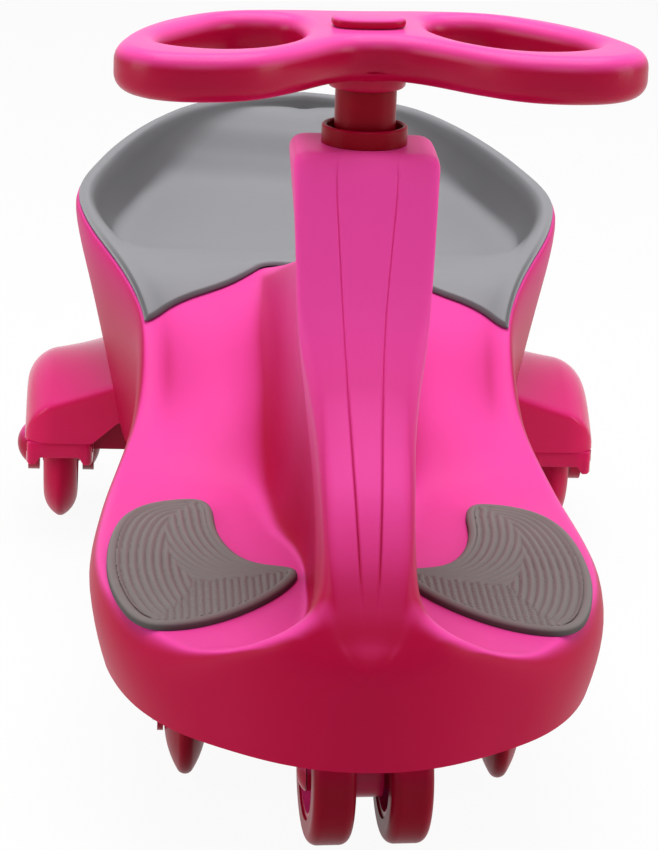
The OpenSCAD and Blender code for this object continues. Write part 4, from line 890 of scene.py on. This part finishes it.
def rounded_slab(shape, outlines, thick, edge, segments=8):
    """Adds a slab with rounded edges to a mesh, from z = 0 up; outlines after the first are holes."""
    turns = np.linspace(0, np.pi / 2, segments + 1)
    low = [(edge * (1 - math.sin(t)), edge * (1 - math.cos(t))) for t in turns]
    profile = low + [(inset, thick - z) for inset, z in low[::-1]]
    caps = [[], []]
    for number, outline in enumerate(outlines):
        others = [o for k, o in enumerate(outlines) if k != number]
        slim = np.ones((len(outline), 1))
        if others:
            apart = np.linalg.norm(outline[:, None] - np.concatenate(others)[None], axis=-1).min(1)
            slim = np.minimum(1, SLIM_SHARE * apart / edge)[:, None]
        rings = []
        for inset, z in profile:
            ring = moved_in(outline, slim * (inset if number == 0 else -inset))
            rings.append([shape.verts.new((x, y, z)) for x, y in ring])
        for under, over in zip(rings, rings[1:]):
            for j in range(len(under)):
                k = (j + 1) % len(under)
                shape.faces.new((under[j], under[k], over[k], over[j]))
        for cap, ring in zip(caps, (rings[0], rings[-1])):
            cap += [shape.edges.get((ring[j], ring[(j + 1) % len(ring)])) for j in range(len(ring))]
    for cap, way in zip(caps, (-1, 1)):
        bmesh.ops.triangle_fill(shape, use_beauty=True, edges=cap, normal=(0, 0, way))


def steering_piece(name, shape, z, node):
    """Puts a finished shape on the steering axis at height z, turned as the wheel is in the photograph."""
    bmesh.ops.remove_doubles(shape, verts=shape.verts, dist=1e-6)
    bmesh.ops.recalc_face_normals(shape, faces=shape.faces)
    mesh = new_mesh(name, shape)
    mesh.transform(Matrix.Translation((0, -STEER_Y * MM, z * MM)) @ Matrix.Rotation(STEER_TURN, 4, "Z"))
    dress(new_object(name, mesh), "gloss_pink", "steering", [node], 40)


def make_steering_wheel():
    half = WHEEL_SHARES + [(-x, y) for x, y in WHEEL_SHARES[-2:0:-1]]
    other_loop = [(-x, y) for x, y in LOOP_SHARES]
    shape = bmesh.new()
    rounded_slab(shape, [closed_curve(s, WHEEL_HALF * MM) for s in (half, LOOP_SHARES, other_loop)],
                 WHEEL_T * MM, WHEEL_EDGE * MM)
    points = [(r * MM * math.cos(a), r * MM * math.sin(a), z * MM) for r, z in SLEEVE for a in ROUND]
    add_faces(shape, points, ring_faces(len(SLEEVE), len(ROUND)))
    steering_piece("steering_wheel_moulding", shape, WHEEL_TOP - WHEEL_T, "steering_wheel")


def make_button():
    oval = [[half * MM * math.copysign(abs(way) ** BUTTON_POWER, way)
             for half, way in zip(BUTTON_HALVES, (math.cos(a), math.sin(a)))] for a in ROUND]
    shape = bmesh.new()
    rounded_slab(shape, [np.array(oval)], BUTTON_T * MM, BUTTON_EDGE * MM, 6)
    steering_piece("button_moulding", shape, WHEEL_TOP + BUTTON_GAP, "hub_button")


make_steering_wheel()
make_button()

# %% [markdown]
# A fender is a hood over each rear wheel. Its front and back stand upright, a soft crease leads from them
# to the sloping top, and the outer corner is round. It is lofted from the body's flank outwards: each line
# of the loft starts on the flank itself, so the hood meets the body along a true joint. A lip with
# scalloped feet hangs below the seam round the wheel.

# %% Fenders
REAR_Y, SEAM_Z, FENDER_REACH, FENDER_OUT, FENDER_IN = 220, 64, 63, 175, 105
FENDER_COLUMNS, FENDER_ROWS, FENDER_CORNER, FENDER_SINK = 121, 44, 18.0, 0.8
CREASE_Z, CREASE_DROP, HOOD_Z, HOOD_DROP = 106, 23, 110, 8
SEAM_LIFT, SEAM_LIFT_X, SEAM_LIFT_W = 14, 134, 16
CREASE_AT, UPRIGHT_SHARE = 0.66, 0.34
HOOD_SIDE_T, HOOD_END_T, HOOD_INSIDE = 3.0, 3.2, 0.92
LIP_LOW, LIP_HIGH = np.array((133.0, REAR_Y - 60.5)), np.array((174.2, REAR_Y + 60.5))
LIP_T, LIP_EDGE, LIP_SINK, FEET_Z, SIDE_SCALLOP, END_SCALLOP = 2.8, 0.8, 0.3, 49.5, 10, 4.5
FLANK_GRID = np.meshgrid(np.linspace(0.25, 0.9, 500), np.linspace(0, 2.4, 260), indexing="ij")
FLANK = skin(*FLANK_GRID).reshape(-1, 3)


def flank_width(y, z):
    """Half-width of the body's flank at each y and z."""
    out = np.empty_like(y)
    for k, (a, b) in enumerate(zip(y, z)):
        far = (FLANK[:, 1] - a) ** 2 + (FLANK[:, 2] - b) ** 2
        near = np.argpartition(far, 6)[:6]
        weight = 1 / (far[near] + 1e-3)
        out[k] = (FLANK[near, 0] * weight).sum() / weight.sum()
    return out


def fender_profile(turn, x):
    """Length and height of the hood at width x; turn runs from 0 at the front seam to 1 at the back."""
    outwards = np.clip((x - FENDER_IN) / (FENDER_OUT - FENDER_IN), 0, 1)
    crease_z = CREASE_Z - CREASE_DROP * outwards
    top_z = HOOD_Z - HOOD_DROP * outwards
    seam_z = SEAM_Z + SEAM_LIFT * np.clip((SEAM_LIFT_X - x) / SEAM_LIFT_W, 0, 1)
    t = np.clip((x - (FENDER_OUT - FENDER_CORNER)) / FENDER_CORNER, 0, 1)
    inset = FENDER_CORNER * (1 - np.sqrt(np.maximum(1 - t * t, 0)))
    s = np.abs(2 * turn - 1)
    upright = np.clip((1 - s) / UPRIGHT_SHARE, 0, 1)
    overhead = np.clip((CREASE_AT - s) / CREASE_AT, 0, 1)
    y = np.where(s > CREASE_AT, 1.0, s / CREASE_AT) * (FENDER_REACH - inset * 0.8)
    z = np.where(s > CREASE_AT, seam_z + (crease_z - seam_z) * upright,
                 crease_z + (top_z - crease_z) * np.sin(overhead * np.pi / 2))
    z = np.minimum(z, np.maximum(z - inset, seam_z))
    return REAR_Y + np.sign(turn - 0.5) * y, z


def fender_lip(start):
    """Points and faces of the scalloped lip that hangs below the seam, round the wheel."""
    low, high = LIP_LOW, LIP_HIGH
    corners = np.array([low, (high[0], low[1]), high, (low[0], high[1])])
    path = []
    for a, b in zip(corners, np.roll(corners, -1, 0)):
        path += [a + (b - a) * t for t in np.linspace(0, 1, 48, endpoint=False)]
    path = evened(np.array(path), 14)
    middle = (low + high) / 2
    along_x, along_y = (np.abs(path - middle) / (high - middle)).T
    bottom = FEET_Z + END_SCALLOP * (1 - ramp((along_x - 0.55) / 0.2)) \
        + SIDE_SCALLOP * (1 - ramp((along_y - 0.55) / 0.35))
    bottom = np.minimum(bottom, SEAM_Z - 4)
    top = np.full(len(path), SEAM_Z - LIP_SINK)
    rings = [(0.5, top), (0, top - 1.2), (0, bottom + 1.0), (LIP_EDGE, bottom), (LIP_T - LIP_EDGE, bottom),
             (LIP_T, bottom + 1.0), (LIP_T, top)]
    points = [np.c_[moved_in(path, inset), height] for inset, height in rings]
    return np.concatenate(points), ring_faces(len(rings), len(path), start, closed=True)


def make_fender(hand, node):
    columns, rows = FENDER_COLUMNS, FENDER_ROWS
    turn = np.linspace(0, 1, columns)
    start = np.full(columns, 110.0)
    for _ in range(5):
        start = flank_width(*fender_profile(turn, start)) - FENDER_SINK
    ease = 1 - (1 - np.linspace(0, 1, rows)) ** 1.7
    x = start[None, :] + ease[:, None] * (FENDER_OUT - start)[None, :]
    outer = np.stack([x, *fender_profile(np.broadcast_to(turn, x.shape), x)], -1)
    for _ in range(5):
        outer[:, 1:-1] = (outer[:, :-2] + 2 * outer[:, 1:-1] + outer[:, 2:]) / 4
    inner = outer.copy()
    inner[..., 0] -= HOOD_SIDE_T * ease[:, None] ** 6
    inner[..., 1] = REAR_Y + (inner[..., 1] - REAR_Y) * (1 - HOOD_END_T / FENDER_REACH)
    inner[..., 2] = SEAM_Z + (inner[..., 2] - SEAM_Z) * HOOD_INSIDE
    count, last = rows * columns, (rows - 1) * columns
    lip_points, lip_faces = fender_lip(2 * count)
    points = np.concatenate([outer.reshape(-1, 3), inner.reshape(-1, 3), lip_points])
    points[:, 0] *= hand
    faces = grid_faces(rows, columns) + grid_faces(rows, columns, count, True)
    faces += side_faces(rows, columns, count)
    faces += [(j, j + 1, count + j + 1, count + j) for j in range(columns - 1)]
    faces.append(tuple(range(last, last + columns)))
    faces.append(tuple(range(count + last + columns - 1, count + last - 1, -1)))
    faces += lip_faces
    mesh_piece(node + "_moulding", points, faces, "crimson_plastic", "body", [node], 40)


make_fender(-1, "left_fender")
make_fender(1, "right_fender")

# %% [markdown]
# The foot pads are grey rubber with a smooth raised border. Inside it one family of fine ribs runs along
# the outer edge and another along the hollow inner edge, and small studs fill the part next to the front
# edge. A fine grid of points takes its height from the nearest edge, which gives all three at once.

# %% Foot pads
PAD_SHARES = [(0.58, 1.00), (0.44, 0.97), (0.45, 0.71), (0.31, 0.455), (0.05, 0.44), (0.05, 0.37),
              (0.20, 0.20), (0.49, 0.02), (0.82, -0.03), (0.95, 0.20), (1.0, 0.465), (0.96, 0.78),
              (0.83, 0.94)]
PAD_W, PAD_L, PAD_STEPS, PAD_FLOOR, PAD_INSIDE = 102, 196, 12, 2.75, 4.4
PAD_PLACE = (0.16 * DECK, -0.80 * HALF_LEN, DECK_Z + 0.2)
RIB_PITCH, RIB_START, RIB_H, STUD_PITCH, PAD_GRID = 4.2, 5.0, 1.25, 3.6, 0.6
BORDER = [(0, 0), (0, 2.2), (0.5, 3.3), (1.5, 4.0), (2.8, 4.25), (4.0, 4.0), (4.9, 3.3), (5.3, 2.6)]


def inside(points, curve):
    x, y = points[:, 0][:, None], points[:, 1][:, None]
    a, b = curve, np.roll(curve, -1, 0)
    crosses = (a[:, 1] > y) != (b[:, 1] > y)
    rise_y = np.where(b[:, 1] == a[:, 1], 1e-9, b[:, 1] - a[:, 1])
    return (crosses & (x < a[:, 0] + (y - a[:, 1]) * (b[:, 0] - a[:, 0]) / rise_y)).sum(1) % 2 == 1


def distance_to(points, path):
    a, b = path[:-1], path[1:]
    along = ((points[:, None] - a) * (b - a)).sum(-1) / ((b - a) ** 2).sum(-1)
    foot = a + np.clip(along, 0, 1)[..., None] * (b - a)
    return np.sqrt(((points[:, None] - foot) ** 2).sum(-1)).min(1)


def wave(distance, pitch):
    return 0.5 + 0.5 * np.cos(2 * np.pi * distance / pitch)


def pad_heights(points, curve):
    """Height of the ribs and studs above the floor of the pad."""
    edges = [np.arange(int(first * PAD_STEPS), int(last * PAD_STEPS)) % len(curve)
             for first, last in ((8.4, 13.4), (1.5, 4.6), (5.4, 8.6))]
    outer_edge, inner_edge, front_edge = [distance_to(points, curve[edge]) for edge in edges]
    nearest = np.minimum(outer_edge, inner_edge)
    ribs = wave(nearest - RIB_START, RIB_PITCH)
    studs = wave(points[:, 0], STUD_PITCH) * wave(points[:, 1], STUD_PITCH)
    studded = ramp((nearest - front_edge) / 2 + 0.5)
    return RIB_H * (np.sqrt(ribs) * (1 - studded) + np.sqrt(studs) * studded)


def make_pad(hand, node):
    curve = closed_curve(PAD_SHARES, np.array((PAD_W, PAD_L)), PAD_STEPS)
    points = [(x, y, z) for inset, z in BORDER for x, y in moved_in(curve, inset)]
    faces = ring_faces(len(BORDER), len(curve))
    faces.append(tuple(range(len(curve) - 1, -1, -1)))
    xs = np.arange(curve[:, 0].min(), curve[:, 0].max(), PAD_GRID)
    ys = np.arange(curve[:, 1].min(), curve[:, 1].max(), PAD_GRID * 1.3)
    spots = np.stack(np.meshgrid(xs, ys, indexing="ij"), -1).reshape(-1, 2)
    kept = inside(spots, moved_in(curve, PAD_INSIDE))
    number = np.full(len(spots), -1)
    number[kept] = len(points) + np.arange(kept.sum())
    points += [(x, y, PAD_FLOOR + h) for (x, y), h in zip(spots[kept], pad_heights(spots[kept], curve))]
    number = number.reshape(len(xs), len(ys))
    cells = np.stack([number[:-1, :-1], number[1:, :-1], number[1:, 1:], number[:-1, 1:]], -1)
    faces += [tuple(c) for c in cells[(cells >= 0).all(-1)].tolist()]
    placed = np.array(points) + PAD_PLACE
    placed[:, 0] *= hand
    mesh_piece(node + "_moulding", placed, faces, "pad_grey", "body", [node], 60)


make_pad(-1, "left_foot_pad")
make_pad(1, "right_foot_pad")

# %% [markdown]
# The rest of the solids are right as they are: wheels, axles, caps, collar, column and screws. They keep
# their shapes, and each gets its finish by the slot that the part's record gives it. Two differ a little:
# the rear tyres get a lighter copy of the tyre finish, which is painted light, and the collar has the deep
# colour of the tube.

# %% Finishes of the solids that stay
REPLACED = {"body_shell", "seat_liner", "steering_wheel", "hub_button", "left_fender", "right_fender",
            "left_foot_pad", "right_foot_pad"}
kept_rows = [row for row in frame["record"]["subparts"] if row["node"] not in REPLACED]
for row in kept_rows:
    finish = row["material_slot"]
    # Painted light: the rear tyres take the lighter copy of the tyre finish.
    if finish == "crimson_tyre" and "rear" in row["node"]:
        finish = "rear_tyre"
    if row["node"] == "steering_collar":
        finish = "crimson_tube"
    for slot in frame["nodes"][row["node"]].material_slots:
        slot.material = FINISH[finish]
print(len(kept_rows), "solids keep their shape")
